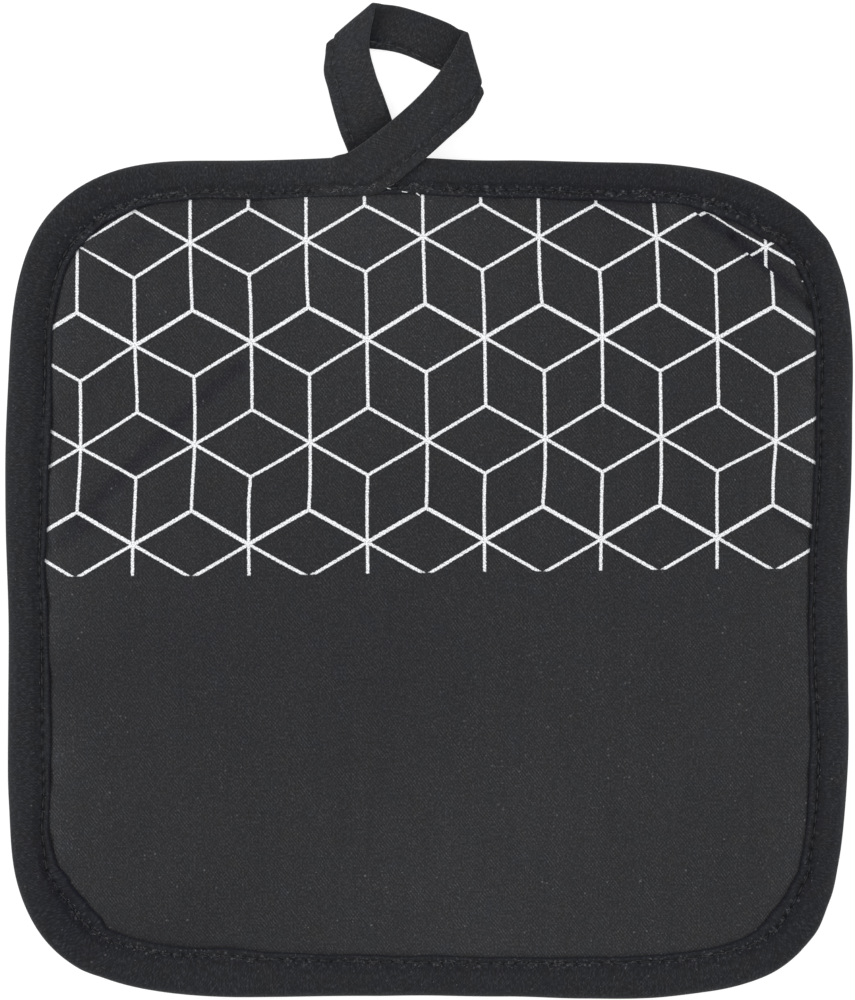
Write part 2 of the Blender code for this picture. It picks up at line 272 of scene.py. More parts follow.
def ripple(seed, x, y, wavelength):
    """Gentle unevenness, about -1 to 1: a few sine waves in seeded directions."""
    rng = np.random.default_rng(seed)
    total = 0.0
    for _ in range(WAVES):
        turn, phase = rng.uniform(0, 2 * math.pi, 2)
        pace = 2 * math.pi / (wavelength * rng.uniform(0.7, 1.5))
        total = total + np.sin((x * math.cos(turn) + y * math.sin(turn)) * pace + phase)
    return total / (WAVES / 2)


# %% [markdown]
# ## Shaders shared by the cloths
# A cloth material here has four layers: the twill's fine lines, a soft mottle from washing
# and handling, specks of lint, and the bump that goes with them. A photograph of cloth would
# show its own folds and repeat itself, so each layer is worked out from sines and noise
# instead. Each is a node group with named sockets, so that every cloth places the same
# recipe with its own numbers.

# %% Node helpers
def add(tree, kind, inputs=None, **settings):
    """A shader node; an input may be a number, a colour or another node's socket."""
    made = tree.nodes.new(kind)
    for name, value in settings.items():
        setattr(made, name, value)
    for key, value in (inputs or {}).items():
        if isinstance(value, bpy.types.NodeSocket):
            tree.links.new(value, made.inputs[key])
        else:
            made.inputs[key].default_value = value
    return made


def calc(tree, operation, *values):
    """One Math node."""
    return add(tree, "ShaderNodeMath", dict(enumerate(values)), operation=operation).outputs[0]


def plus(tree, *values):
    """All the values added up."""
    return functools.reduce(lambda a, b: calc(tree, "ADD", a, b), values)


def minus(tree, a, b):
    """The second value taken from the first."""
    return calc(tree, "SUBTRACT", a, b)


def times(tree, *values):
    """All the values multiplied."""
    return functools.reduce(lambda a, b: calc(tree, "MULTIPLY", a, b), values)


def ramp(tree, value, start, end, low=0.0, high=1.0):
    """Smooth step of a value from low, at start, to high, at end."""
    return add(tree, "ShaderNodeMapRange",
               {0: value, 1: start, 2: end, 3: low, 4: high},
               interpolation_type="SMOOTHSTEP").outputs[0]


# %% Places as node values
def place_calc(tree, operation, *values, output="Vector"):
    """One Vector Math node."""
    return add(tree, "ShaderNodeVectorMath", dict(enumerate(values)),
               operation=operation).outputs[output]


def split(tree, place):
    """The x, y and z of a place."""
    return tuple(add(tree, "ShaderNodeSeparateXYZ", {0: place}).outputs)


def combined(tree, *parts):
    """A place, or a tone of red, green and blue, from its parts."""
    return add(tree, "ShaderNodeCombineXYZ", dict(enumerate(parts))).outputs[0]


def lumps(tree, place, scale, detail, roughness=0.5, dimensions="2D"):
    """Noise of about 0 to 1; scale is in lumps per unit of place."""
    values = {"Vector": place, "Scale": scale, "Detail": detail, "Roughness": roughness}
    return add(tree, "ShaderNodeTexNoise", values, noise_dimensions=dimensions).outputs[0]


def noise(tree, place, scale, detail, roughness=0.5):
    """The same noise about zero, from -0.5 to 0.5."""
    return minus(tree, lumps(tree, place, scale, detail, roughness), 0.5)


# %% A group builder
FLOAT, VECTOR = "NodeSocketFloat", "NodeSocketVector"


def new_group(name, inputs, outputs):
    """A shader node group; an input is (name, kind, default), an output is (name, kind)."""
    made = bpy.data.node_groups.new(name, "ShaderNodeTree")
    for label, kind, default in inputs:
        socket = made.interface.new_socket(name=label, in_out="INPUT", socket_type=kind)
        if default is not None:
            socket.default_value = default
    for label, kind in outputs:
        made.interface.new_socket(name=label, in_out="OUTPUT", socket_type=kind)
    return made, made.nodes.new("NodeGroupInput").outputs, made.nodes.new("NodeGroupOutput").inputs


def feed(group, result, **values):
    """Links each value to the group's output of that name, which finishes the group."""
    for label, socket in values.items():
        group.links.new(socket, result[label])
    print(f"{group.name}: {len(group.nodes)} nodes")


def place_group(tree, group, **values):
    """Places a group in a tree with its own values, and gives its outputs."""
    return add(tree, "ShaderNodeGroup", values, node_tree=group).outputs


# %% Twill
WOBBLE, WOBBLE_LUMPS = 5.0, 0.33   # radians by which the lines stray, and lumps per millimetre
BACK_LINES = 0.4               # strength of the lines that lean the other way
YARN_LUMPS, FAINTEST, CLEAREST = 0.22, 0.45, 1.2       # how the lines come and go
GRAIN_LUMPS, SLUB_LUMPS, SLUBS = 2.2, 0.6, 0.20        # fine grain, and the longer slubs
MEAN_TONE = 0.955              # makes up for the pale yarns, so that the cloth stays as dark

twill, given, result = new_group(
    "Twill weave",
    [("Place", VECTOR, None), ("Turn", FLOAT, 0.65), ("Pitch", FLOAT, 0.61),
     ("Lines", FLOAT, 0.15), ("Grain", FLOAT, 0.5), ("Drawn", FLOAT, 0.7)],
    [("Tone", FLOAT), ("Height", FLOAT)])


def wave(tree, place, turn, pitch, wobble):
    """Sine lines across a place in millimetres; turn is the direction in which they follow
    one another."""
    x, y, _ = split(tree, place)
    across = plus(tree, times(tree, x, calc(tree, "COSINE", turn)),
                  times(tree, y, calc(tree, "SINE", turn)))
    phase = times(tree, calc(tree, "DIVIDE", across, pitch), 2 * math.pi)
    return calc(tree, "SINE", plus(tree, phase, wobble))


wobble = times(twill, noise(twill, given["Place"], WOBBLE_LUMPS, detail=2.0), WOBBLE)
leaning = [wave(twill, given["Place"], turn, given["Pitch"], wobble)
           for turn in (given["Turn"], times(twill, given["Turn"], -1.0))]
lines = plus(twill, leaning[0], times(twill, leaning[1], BACK_LINES))
# the lines come and go, as the yarn is not equally thick everywhere
clear = ramp(twill, noise(twill, given["Place"], YARN_LUMPS, detail=2.0), -0.12, 0.16,
             FAINTEST, CLEAREST)
lines = times(twill, lines, clear, given["Lines"])
# the grain is drawn out along the upright yarns
drawn = place_calc(twill, "MULTIPLY", given["Place"], combined(twill, 1.0, given["Drawn"]))
slubs = noise(twill, drawn, SLUB_LUMPS, detail=1.0, roughness=1.0)
grain = plus(twill, noise(twill, drawn, GRAIN_LUMPS, detail=1.0, roughness=0.9),
             times(twill, slubs, SLUBS))
woven = plus(twill, lines, times(twill, grain, given["Grain"]))
# pale yarns stand out more than dark ones
feed(twill, result,
     Tone=plus(twill, times(twill, woven, plus(twill, woven, 1.0)), MEAN_TONE),
     Height=plus(twill, woven, 0.5))

# %% Mottle
STREAK_LUMPS, STREAK_DRAWN, STREAKS = 0.22, 0.14, 0.20     # per millimetre, squeeze, amount
CAST_LUMPS = 0.17              # where the cloth leans to blue or to red

mottle, given, result = new_group(
    "Soft mottle",
    [("Place", VECTOR, None), ("Size", FLOAT, 30.0), ("Amount", FLOAT, 0.08), ("Tint", FLOAT, 0.03)],
    [("Tone", VECTOR)])
cloud = lumps(mottle, given["Place"], calc(mottle, "DIVIDE", 1.0, given["Size"]),
              detail=3.0, roughness=0.55, dimensions="3D")
swing = times(mottle, given["Amount"], 4.0)    # the noise keeps to the middle half of its range
tone = plus(mottle, times(mottle, minus(mottle, cloud, 0.5), swing), 1.0)
# long soft streaks along the upright yarns
drawn = place_calc(mottle, "MULTIPLY", given["Place"], (1.0, STREAK_DRAWN, 1.0))
streaks = noise(mottle, drawn, STREAK_LUMPS, detail=2.0, roughness=0.6)
tone = plus(mottle, tone, times(mottle, streaks, STREAKS))
cast = noise(mottle, given["Place"], CAST_LUMPS, detail=2.0, roughness=0.6)
cast = times(mottle, cast, given["Tint"])
feed(mottle, result,
     Tone=combined(mottle, minus(mottle, tone, cast), tone, plus(mottle, tone, cast)))

# %% Lint specks
SMALLEST = 0.4                 # share of its size that even the smallest speck has
CORE = 0.4                     # share of a speck that is full before it fades

lint, given, result = new_group(
    "Lint specks",
    [("Place", VECTOR, None), ("Spacing", FLOAT, 3.0), ("Size", FLOAT, 0.35), ("Share", FLOAT, 0.3)],
    [("Speck", FLOAT)])
cell = add(lint, "ShaderNodeTexVoronoi",
           {"Vector": given["Place"], "Scale": calc(lint, "DIVIDE", 1.0, given["Spacing"])}).outputs
away = times(lint, cell["Distance"], given["Spacing"])
chance, bigness, paleness = add(lint, "ShaderNodeSeparateColor", {0: cell["Color"]}).outputs
size = times(lint, given["Size"], plus(lint, bigness, SMALLEST))
dot = minus(lint, 1.0, ramp(lint, away, times(lint, size, CORE), size))
chosen = calc(lint, "LESS_THAN", chance, given["Share"])
feed(lint, result, Speck=times(lint, dot, chosen, calc(lint, "POWER", paleness, 2.0)))

# %% [markdown]
# ## The printed line pattern
# The upper part of the face is printed with thin white lines that make a field of cubes, an
# old patchwork pattern. All of its lines have one length, and they lie in three directions
# 60 degrees apart. So one small group measures the distance to the upright lines of the
# pattern, and the print places it three times, turned, and keeps the smallest distance.
# That is a formula, sharp at any size, and the ink's edge and speckle come from noise.

# %% One family of lines
COLUMN = 13.693                # from one upright line of the pattern to the next
LINE = COLUMN * 2 / math.sqrt(3)   # length of each line between two knots

family, given, result = new_group("Line family", [("Place", VECTOR, None), ("Turn", FLOAT, 0.0)],
                                  [("Distance", FLOAT)])
turned = add(family, "ShaderNodeVectorRotate", {"Vector": given["Place"], "Angle": given["Turn"]},
             rotation_type="Z_AXIS").outputs[0]
x, y, _ = split(family, turned)
column = calc(family, "ROUND", calc(family, "DIVIDE", x, COLUMN))
beside = minus(family, x, times(family, column, COLUMN))
# a column is two lines end to end and a gap as long as one; odd columns start half a period on
odd = calc(family, "FLOORED_MODULO", column, 2.0)
shifted = plus(family, y, times(family, plus(family, odd, 1.0), 1.5 * LINE))
along = minus(family, calc(family, "FLOORED_MODULO", shifted, 3 * LINE), 1.5 * LINE)
past_end = calc(family, "MAXIMUM", minus(family, calc(family, "ABSOLUTE", along), LINE), 0.0)
feed(family, result,
     Distance=place_calc(family, "LENGTH", combined(family, beside, past_end), output="Value"))

# %% The whole print
LINE_HALF, LINE_BLUR = 0.355, 0.1  # half the width of a line, and how far its edge fades
BOLD = 0.085                   # added on the slanting lines that run up from every second row
RAGGED, RAGGED_LUMPS = 0.42, 2.6   # how far the ink's edge strays, and lumps per millimetre
CUT = -3.5 * LINE + 0.72       # the print stops just short of the last diamonds' tips
CUT_FADE = (-0.05, 0.25)       # about the cut, where the ink starts and is full
FLECK_LUMPS, FLECK_RANGE = 3.0, (0.28, 0.6)    # where the ink let the cloth through

cubes, given, result = new_group("Cube line print", [("Place", VECTOR, None), ("Thin", FLOAT, 0.0)],
                                 [("Ink", FLOAT), ("Speckle", FLOAT)])


def family_at(turn):
    """Distance to the nearest line of one direction."""
    return place_group(cubes, family, Place=given["Place"], Turn=turn)[0]


up = split(cubes, given["Place"])[1]
above_row = calc(cubes, "FLOORED_MODULO", up, 3 * LINE)
bold = times(cubes, calc(cubes, "LESS_THAN", above_row, 0.5 * LINE), BOLD)
slants = calc(cubes, "MINIMUM", family_at(math.pi / 3), family_at(-math.pi / 3))
nearest = calc(cubes, "MINIMUM", family_at(0.0), minus(cubes, slants, bold))
rough = lumps(cubes, given["Place"], RAGGED_LUMPS, detail=2.0)
nearest = plus(cubes, nearest, times(cubes, minus(cubes, rough, 0.5), RAGGED), given["Thin"])
stop = plus(cubes, up, times(cubes, rough, 0.5))
inked = times(cubes, ramp(cubes, nearest, LINE_HALF + LINE_BLUR, LINE_HALF - LINE_BLUR),
              ramp(cubes, stop, *(CUT + fade for fade in CUT_FADE)))
fleck = lumps(cubes, given["Place"], FLECK_LUMPS, detail=1.0, roughness=0.8)
feed(cubes, result, Ink=inked, Speckle=ramp(cubes, fleck, *FLECK_RANGE))

# %% [markdown]
# ## The cloth finishes
# The face is charcoal cotton twill, the tape is a blacker and plainer cotton. Dark cotton
# keeps a faint bloom where it turns away from the eye, which is what sheen is for. The tape
# is dressed twice, because the loop was stitched flat and has less fuzz on it.

# %% Tones and colours
SHADE_BLUE = 0.36              # share of its blue that shade keeps


def object_place(tree):
    """A point's place on the object, in millimetres."""
    source = add(tree, "ShaderNodeTexCoord").outputs["Object"]
    return place_calc(tree, "MULTIPLY", source, (1 / MM,) * 3)


def map_place(tree, name):
    """A point's place on one of its mesh's UV maps, in millimetres."""
    return add(tree, "ShaderNodeUVMap", uv_map=name).outputs[0]


def tinted(tree, colour, *tones):
    """The colour multiplied by every tone."""
    for tone in tones:
        colour = place_calc(tree, "MULTIPLY", colour, tone)
    return colour


def wear_and_painted_light_tone(tree):
    """The mesh's layer of wear and painted light as a tone. Painted shade keeps more of its blue."""
    wear_and_light = add(tree, "ShaderNodeAttribute", attribute_name="Wear_and_painted_light").outputs["Fac"]
    grey = plus(tree, wear_and_light, 1.0)
    blue = minus(tree, grey, times(tree, calc(tree, "MINIMUM", wear_and_light, 0.0), SHADE_BLUE))
    return combined(tree, grey, grey, blue)


def blend_colour(tree, amount, under, over):
    """A Mix node; its colours are the sockets 6 and 7, and it gives socket 2."""
    return add(tree, "ShaderNodeMix", {0: amount, 6: under, 7: over}, data_type="RGBA").outputs[2]


# %% Plain cotton
LINT_COLOUR = (0.6, 0.6, 0.6, 1.0)
WEAVE_DEPTH = 0.00006          # metres that the weave's full height stands for


def cotton(name, colour, roughness, sheen, sheen_roughness):
    """A matt cloth: its material, its node tree and its shader's inputs."""
    made, shader = plain_material(name, colour, roughness)
    shader["Sheen Weight"].default_value = sheen
    shader["Sheen Roughness"].default_value = sheen_roughness
    shader["Specular IOR Level"].default_value = 0.15
    return made, made.node_tree, shader


def finish_cloth(tree, shader, colour, height, strength):
    """Links the colour, and the weave's height as a bump."""
    tree.links.new(colour, shader["Base Color"])
    bump = add(tree, "ShaderNodeBump",
               {"Height": height, "Distance": WEAVE_DEPTH, "Strength": strength})
    tree.links.new(bump.outputs[0], shader["Normal"])
    print(len(tree.nodes), "nodes in the cloth")


# %% Printed face: where the ink goes
FACE = (0.0262, 0.0265, 0.0287)
TUCK_FROM, TUCK_TO = (64.7, 66.1), (90.1, 46.6)   # fold across the upper right corner
TUCK_SHIFT = (1.3, 1.7)                           # cloth that the fold swallows, by direction
STRETCHED = ((72.0, 63.5, 10.0), (-80.5, 61.5, 7.0))   # x, y, radius: the print is thin there
STRETCHED_Z, THINNER = 8.0, 0.16                  # its height, and what a line loses there
PRINTED_ABOVE = 3.0            # the back isn't printed

face_cloth, t, shader = cotton("Charcoal printed twill", FACE, roughness=0.88, sheen=0.05,
                               sheen_roughness=0.45)
here = object_place(t)
run = np.array(TUCK_TO) - TUCK_FROM
beyond = np.array((-run[1], run[0])) / np.hypot(*run)
past = place_calc(t, "DOT_PRODUCT", here, (*beyond, 0.0), output="Value")
tucked = calc(t, "GREATER_THAN", past, float(beyond @ TUCK_FROM))
shift = place_calc(t, "MULTIPLY", (*TUCK_SHIFT, 0.0), tucked)
flat = place_calc(t, "ADD", map_place(t, "Print"), shift)
thin = plus(t, *(ramp(t, place_calc(t, "DISTANCE", here, (*spot, STRETCHED_Z), output="Value"),
                      radius, 0.4 * radius, 0.0, THINNER) for *spot, radius in STRETCHED))
printed = place_group(t, cubes, Place=flat, Thin=thin)
ink = times(t, printed["Ink"], calc(t, "GREATER_THAN", split(t, here)[2], PRINTED_ABOVE))

# %% Printed face: cloth and ink
INK, INK_RANGE = (0.84, 0.845, 0.86), (0.62, 1.10)     # colour, and its tones in the flecks
FACE_SPECKS, INK_HEIGHT = 0.14, 0.6

weave = place_group(t, twill, Place=here, Turn=math.radians(37.5), Pitch=0.61, Lines=0.25,
                    Grain=1.9, Drawn=0.8)
soft = place_group(t, mottle, Place=here, Size=26.0, Amount=0.05, Tint=0.11)
speck = place_group(t, lint, Place=here, Spacing=1.3, Size=0.27, Share=0.5)[0]
# the last tone is the mesh's wear with painted light and shade
cloth = tinted(t, FACE, weave["Tone"], soft["Tone"], wear_and_painted_light_tone(t))
cloth = blend_colour(t, times(t, speck, FACE_SPECKS), cloth, LINT_COLOUR)
white = tinted(t, INK, ramp(t, printed["Speckle"], 0.0, 1.0, *INK_RANGE))
finish_cloth(t, shader, blend_colour(t, ink, cloth, white),
             plus(t, weave["Height"], times(t, ink, INK_HEIGHT)), 0.6)

# %% Black tape
TAPE_SPECKS, FUZZ_COLOUR = 0.10, (0.35, 0.35, 0.37, 1.0)
FUZZ_NEAR, FUZZ_FAR = 0.3, 2.0     # from the seam, where the fuzz starts and stops fading
FUZZ_MID_Y, FUZZ_THIN, FUZZ_THICK = -18.0, 66.0, 86.0      # away from the middle, up and down


def tape_cloth(name, colour, grain, fuzziness):
    """Black cotton; its UV map runs along the tape in X and across it in Y, with the seam at
    zero, where the needle has pulled out some fuzz."""
    made, t, shader = cotton(name, colour, roughness=0.86, sheen=0.08, sheen_roughness=0.4)
    here, tape = object_place(t), map_place(t, "Tape")
    weave = place_group(t, twill, Place=tape, Turn=math.radians(45), Pitch=0.6, Lines=0.16,
                        Grain=grain, Drawn=0.45)
    soft = place_group(t, mottle, Place=here, Size=16.0, Amount=0.04, Tint=0.17)
    speck = place_group(t, lint, Place=here, Spacing=1.6, Size=0.27, Share=0.5)[0]
    fuzz = place_group(t, lint, Place=tape, Spacing=0.8, Size=0.42, Share=0.8)[0]
    by_seam = ramp(t, calc(t, "ABSOLUTE", split(t, tape)[1]), FUZZ_NEAR, FUZZ_FAR, fuzziness, 0.0)
    # it is thickest along the top and the bottom
    up_or_down = calc(t, "ABSOLUTE", plus(t, split(t, here)[1], -FUZZ_MID_Y))
    fuzz = times(t, fuzz, by_seam, ramp(t, up_or_down, FUZZ_THIN, FUZZ_THICK, 0.2, 1.0))
    # the last tone is the mesh's wear with painted sheen and painted shade
    cloth = tinted(t, colour, weave["Tone"], soft["Tone"], wear_and_painted_light_tone(t))
    cloth = blend_colour(t, fuzz, cloth, FUZZ_COLOUR)
    cloth = blend_colour(t, times(t, speck, TAPE_SPECKS), cloth, LINT_COLOUR)
    finish_cloth(t, shader, cloth, weave["Height"], 0.5)
    return made


binding_tape = tape_cloth("Black cotton tape", (0.0182, 0.0191, 0.0218), grain=2.1, fuzziness=0.24)
loop_tape = tape_cloth("Black cotton tape, stitched flat", (0.0196, 0.0202, 0.0223),
                       grain=1.9, fuzziness=0.10)


# %% Thread and fluff
SPUN_LUMPS, SPUN_RANGE = 0.9, (0.36, 0.64)     # the tone goes from dark to pale over the range


def spun(name, dark, pale, roughness):
    """Thread or fluff: its tone wanders between two colours from one fibre to the next."""
    made, shader = plain_material(name, pale, roughness)
    t = made.node_tree
    tone = lumps(t, object_place(t), SPUN_LUMPS, detail=1.0, dimensions="3D")
    tone = ramp(t, tone, *SPUN_RANGE)
    t.links.new(blend_colour(t, tone, (*dark, 1.0), (*pale, 1.0)), shader["Base Color"])
    return made


thread = spun("Black thread", (0.008, 0.0085, 0.0105), (0.020, 0.021, 0.025), roughness=0.7)
loop_thread = spun("Charcoal thread", (0.014, 0.015, 0.018), (0.048, 0.049, 0.055), roughness=0.7)
fluff = spun("Grey fluff", (0.05, 0.05, 0.057), (0.17, 0.17, 0.18), roughness=0.95)
white_thread = spun("White thread", (0.55, 0.55, 0.56), (0.90, 0.90, 0.91), roughness=0.9)
print("spun:", [made.name for made in (thread, loop_thread, fluff, white_thread)])

# %% [markdown]
# ## The pad
# A filled pad is crowned: flat in the middle, falling to the hem, where the tape holds it
# down. A cloth simulation would give it folds, but not these ones in these places. So its
# face is a square grid drawn out to the rounded outline, ring by ring, whose rows run along
# the hem. The folds that handling left are placed one by one as soft troughs and ridges in the
# real sizes, and the fine unevenness between them comes from seeded waves.

# %% Folds and swells
FACE_EDGE_Z, FACE_MID_Z, CROWN_REACH = 6.0, 8.6, 42.0
CREASES = (  # half width, depth (negative for a ridge), share of painted shade, then x and y by turns
    (5.5, 0.40, 0.05, -86.0, -8.5, -32.0, 41.0),          # long slant across the upper left
    (1.9, 0.55, 0.31, -84.0, -6.0, -66.0, 11.6, -55.5, 21.6, -44.5, 31.5),
    (2.1, 0.45, 0.32, -89.0, -11.5, -77.9, -4.1),
    (4.5, 0.25, 0.05, -83.0, 25.0, -60.0, 40.0),
    (2.0, 0.22, 0.10, -88.7, 17.5, -73.0, 31.5),
    (1.8, 0.35, 0.18, -74.5, 54.0, -66.8, 62.8),
    (1.7, 0.55, 0.24, -41.0, 70.6, -35.5, 64.8),          # nip under the top hem
    (3.2, -0.45, 0.0, -31.0, 70.0, -27.0, 64.0),
    (1.5, 0.35, 0.10, 52.0, 71.5, 55.0, 66.0),
    (1.1, 1.10, 0.38, 64.9, 66.1, 71.3, 62.1),            # tuck across the upper right corner
    (1.5, 1.40, 0.48, 71.3, 62.1, 78.1, 56.4, 84.1, 51.0, 87.6, 48.0, 89.8, 45.8),
    (2.0, -0.45, 0.0, 74.0, 65.3, 85.5, 56.0),
    (4.5, 0.45, 0.05, 68.0, 66.0, 87.0, 49.5),
    (1.3, 0.35, 0.16, 84.9, 33.2, 90.8, 28.0),
    (1.9, 0.55, 0.24, 82.5, -2.8, 90.0, -9.0),            # dent at the right edge
    (8.0, 0.30, 0.0, 66.0, -17.0, 92.0, -24.0),
)
SWELLS = (  # x, y, radius, height
    (-8.0, 55.0, 30.0, 0.35), (-22.0, -32.0, 34.0, -0.40), (36.0, -70.0, 34.0, 0.30),
    (60.0, 66.0, 16.0, 0.35), (-55.0, -75.0, 26.0, 0.20), (35.4, 38.3, 2.4, -0.25),
    # bites where the hem's stitches pull the face in
    (-89.6, -41.6, 2.6, -0.55), (-89.6, -65.4, 2.6, -0.50), (-89.2, -80.2, 2.4, -0.45),
    (-89.8, -24.0, 2.4, -0.35), (-90.2, 8.0, 3.0, -0.30), (89.6, -51.0, 2.2, -0.50),
    (89.6, -64.7, 2.0, -0.40), (32.2, -103.4, 2.2, -0.45), (65.6, -103.8, 2.4, -0.40),
    (17.7, 71.2, 2.2, -0.45), (-12.0, -104.0, 2.6, -0.35), (-58.0, -103.5, 2.4, -0.35),
)
print(len(CREASES), "folds and", len(SWELLS), "swells and bites")


# %% Soft troughs and patches
def hump(distance, width, height=1.0):
    """The height at no distance, and next to nothing past two widths."""
    return height * np.exp(-(distance / width) ** 2)


def patches(start, table, x, y):
    """Adds soft round patches, each (x, y, radius, amount), to a start value."""
    return sum((amount * np.exp(-((x - px) ** 2 + (y - py) ** 2) / radius ** 2)
                for px, py, radius, amount in table), start)


def folds(x, y):
    """Height added by the folds and swells, and the painted shade inside the folds."""
    z, shade = np.zeros_like(x), np.zeros_like(x)
    for half_width, depth, dark, *spots in CREASES:
        line, away = np.array(spots).reshape(-1, 2), np.full_like(x, np.inf)
        for (x0, y0), run in zip(line[:-1], np.diff(line, axis=0)):
            along = np.clip(((x - x0) * run[0] + (y - y0) * run[1]) / (run @ run), 0, 1)
            away = np.minimum(away, np.hypot(x - x0 - along * run[0], y - y0 - along * run[1]))
        inside = hump(away, half_width)            # 1 in the fold
        z -= depth * inside
        shade = np.maximum(shade, dark * inside)
    return patches(z, SWELLS, x, y), shade


# %% Face of the pad
FACE_CELLS = 256
UNDER_HEM = 0.5                # how far the face's edge goes in under the hem
CAD_INSET = 4.4                # where the CAD solid's face starts, in from the hem
DIP, DIP_REACH = 1.15, 1.5     # the hem presses the face down beside it
HEM_REACH = 5.0                # how far in the hem makes the face uneven
FACE_RIPPLES = (  # seed, wavelength, height beside the hem, height all over
    (3, 9.0, 0.10, 0.0), (4, 24.0, 0.0, 0.09), (5, 11.0, 0.05, 0.02),
)


def grid_stations(u, v):
    """Ring (0 in the middle, 1 at the border) and station of a point of the square grid."""
    level = np.maximum(np.abs(u), np.abs(v))
    a, b = u / np.maximum(level, 1e-9), v / np.maximum(level, 1e-9)
    side = np.select([a > 1 - 1e-6, b > 1 - 1e-6, a < -1 + 1e-6],
                     [(1 + b) / 2, 1 + (1 - a) / 2, 2 + (1 - b) / 2], 3 + (1 + a) / 2)
    return level, side * QUARTER


def crown(level, station, border):
    """Height of the smooth face, which rises from where the CAD solid's face starts."""
    solid, _ = inset(station, widths(station)[0] + CAD_INSET)
    ratio = np.linalg.norm(border - PAD_CENTRE, axis=1) / np.linalg.norm(solid - PAD_CENTRE, axis=1)
    inside = np.clip((1 - level * ratio) * HALF_WIDTH / CROWN_REACH, 0, 1)
    return FACE_EDGE_Z + (FACE_MID_Z - FACE_EDGE_Z) * (1 - (1 - inside) ** 2)


def face_place(u, v):
    """Place, wear with painted light and shade, and place on the flat cloth of a point of the face."""
    level, station = grid_stations(2 * u - 1, 2 * v - 1)
    border, inwards = inset(station, widths(station)[0] - UNDER_HEM)
    x, y = (PAD_CENTRE + level[:, None] * (border - PAD_CENTRE)).T
    from_hem = (1 - level) * ((PAD_CENTRE - border) * inwards).sum(1) - UNDER_HEM
    z = crown(level, station, border) - DIP * np.exp(-np.maximum(from_hem, -0.3) / DIP_REACH)
    near_hem = np.exp(-np.maximum(from_hem, 0) / HEM_REACH)
    for seed, wavelength, by_hem, all_over in FACE_RIPPLES:
        z += (by_hem * near_hem + all_over) * ripple(seed, x, y, wavelength)
    folded, shade = folds(x, y)
    z += folded + lift(x, y, 1.0)
    # the folds' painted shade is taken off the layer of wear and painted light
    return x, y, z, face_wear_and_painted_light(x, y, from_hem, station) - shade, *flat_place(x, y)


# %% [markdown]
# The print was laid on flat cloth and then pulled about by the sewing. So each point of the
# face keeps its place on the flat cloth as a UV map, in millimetres: turned by the slant of
# the whole print, and drifted by the few millimetre-sized pulls below.

# %% Where the print went
PRINT_KNOT = (12.80, 37.60)    # a knot of six lines, on the face
PRINT_SLANT = math.radians(0.65)
PULL_RADIUS, UNPULLED = 11.0, 0.05     # the second is the weight of cloth that stays put
PRINT_DRIFT = (  # x, y, how far the print is pulled in x and in y
    (-80.0, 64.0, 0.30, -0.35), (-84.0, 20.0, 0.75, -0.85), (-69.0, 45.0, 0.05, -0.50),
    (-57.0, 61.0, -0.45, -0.10), (-29.0, 61.0, -0.50, 0.10), (-1.5, 60.0, -0.40, 0.70),
    (25.5, 62.0, -0.50, 0.35), (53.4, 61.0, 0.15, 0.00), (52.4, 72.0, -1.1, 0.00),
    (81.0, 45.0, -0.15, -0.70), (91.0, 38.0, -0.20, -2.0), (83.0, 20.0, 0.20, -1.05),
    (81.0, -2.0, -1.00, -0.15), (68.0, 40.0, 0.20, -0.25), (40.0, 38.0, 0.40, 0.20),
    (12.8, 36.0, 0.20, 0.45), (-15.0, 36.0, -0.10, 0.35), (-42.0, 36.0, 0.10, 0.00),
    (-56.0, 14.0, 0.35, -0.20), (-69.5, 2.0, 0.15, -0.10), (-56.4, -3.0, -0.95, 0.15),
    (-43.0, -10.0, -1.15, -0.10), (-71.0, -11.0, -1.30, 0.20), (-15.0, -8.0, -0.60, 0.10),
    (12.6, -8.0, -0.45, 0.25), (40.4, -9.0, -0.15, 0.15), (67.7, -9.0, -0.25, 0.30),
    (-28.5, 14.0, -0.05, -0.05), (0.0, 14.0, 0.05, 0.15), (27.0, 18.0, 0.45, 0.30),
    (54.3, 15.0, 0.30, 0.20), (-1.3, 47.0, -0.05, 0.70), (79.5, 60.5, -0.60, -0.90),
    (26.5, -18.0, -0.60, 0.20), (40.0, -19.0, -0.90, 0.20), (54.0, -18.0, -0.60, 0.25),
    (67.5, -19.0, -0.80, 0.30), (81.0, -17.0, -0.60, 0.10),
)


def flat_place(x, y):
    """Place on the unsewn cloth, in the print's own axes."""
    pull, total = np.zeros((2, len(x))), np.full(len(x), UNPULLED)
    for px, py, dx, dy in PRINT_DRIFT:
        share = np.exp(-((x - px) ** 2 + (y - py) ** 2) / PULL_RADIUS ** 2)
        pull += share * np.array([[dx], [dy]])
        total += share
    x, y = x - pull[0] / total - PRINT_KNOT[0], y - pull[1] / total - PRINT_KNOT[1]
    c, s = math.cos(PRINT_SLANT), math.sin(PRINT_SLANT)
    return x * c + y * s, y * c - x * s


print(len(PRINT_DRIFT), "pulls on the print")

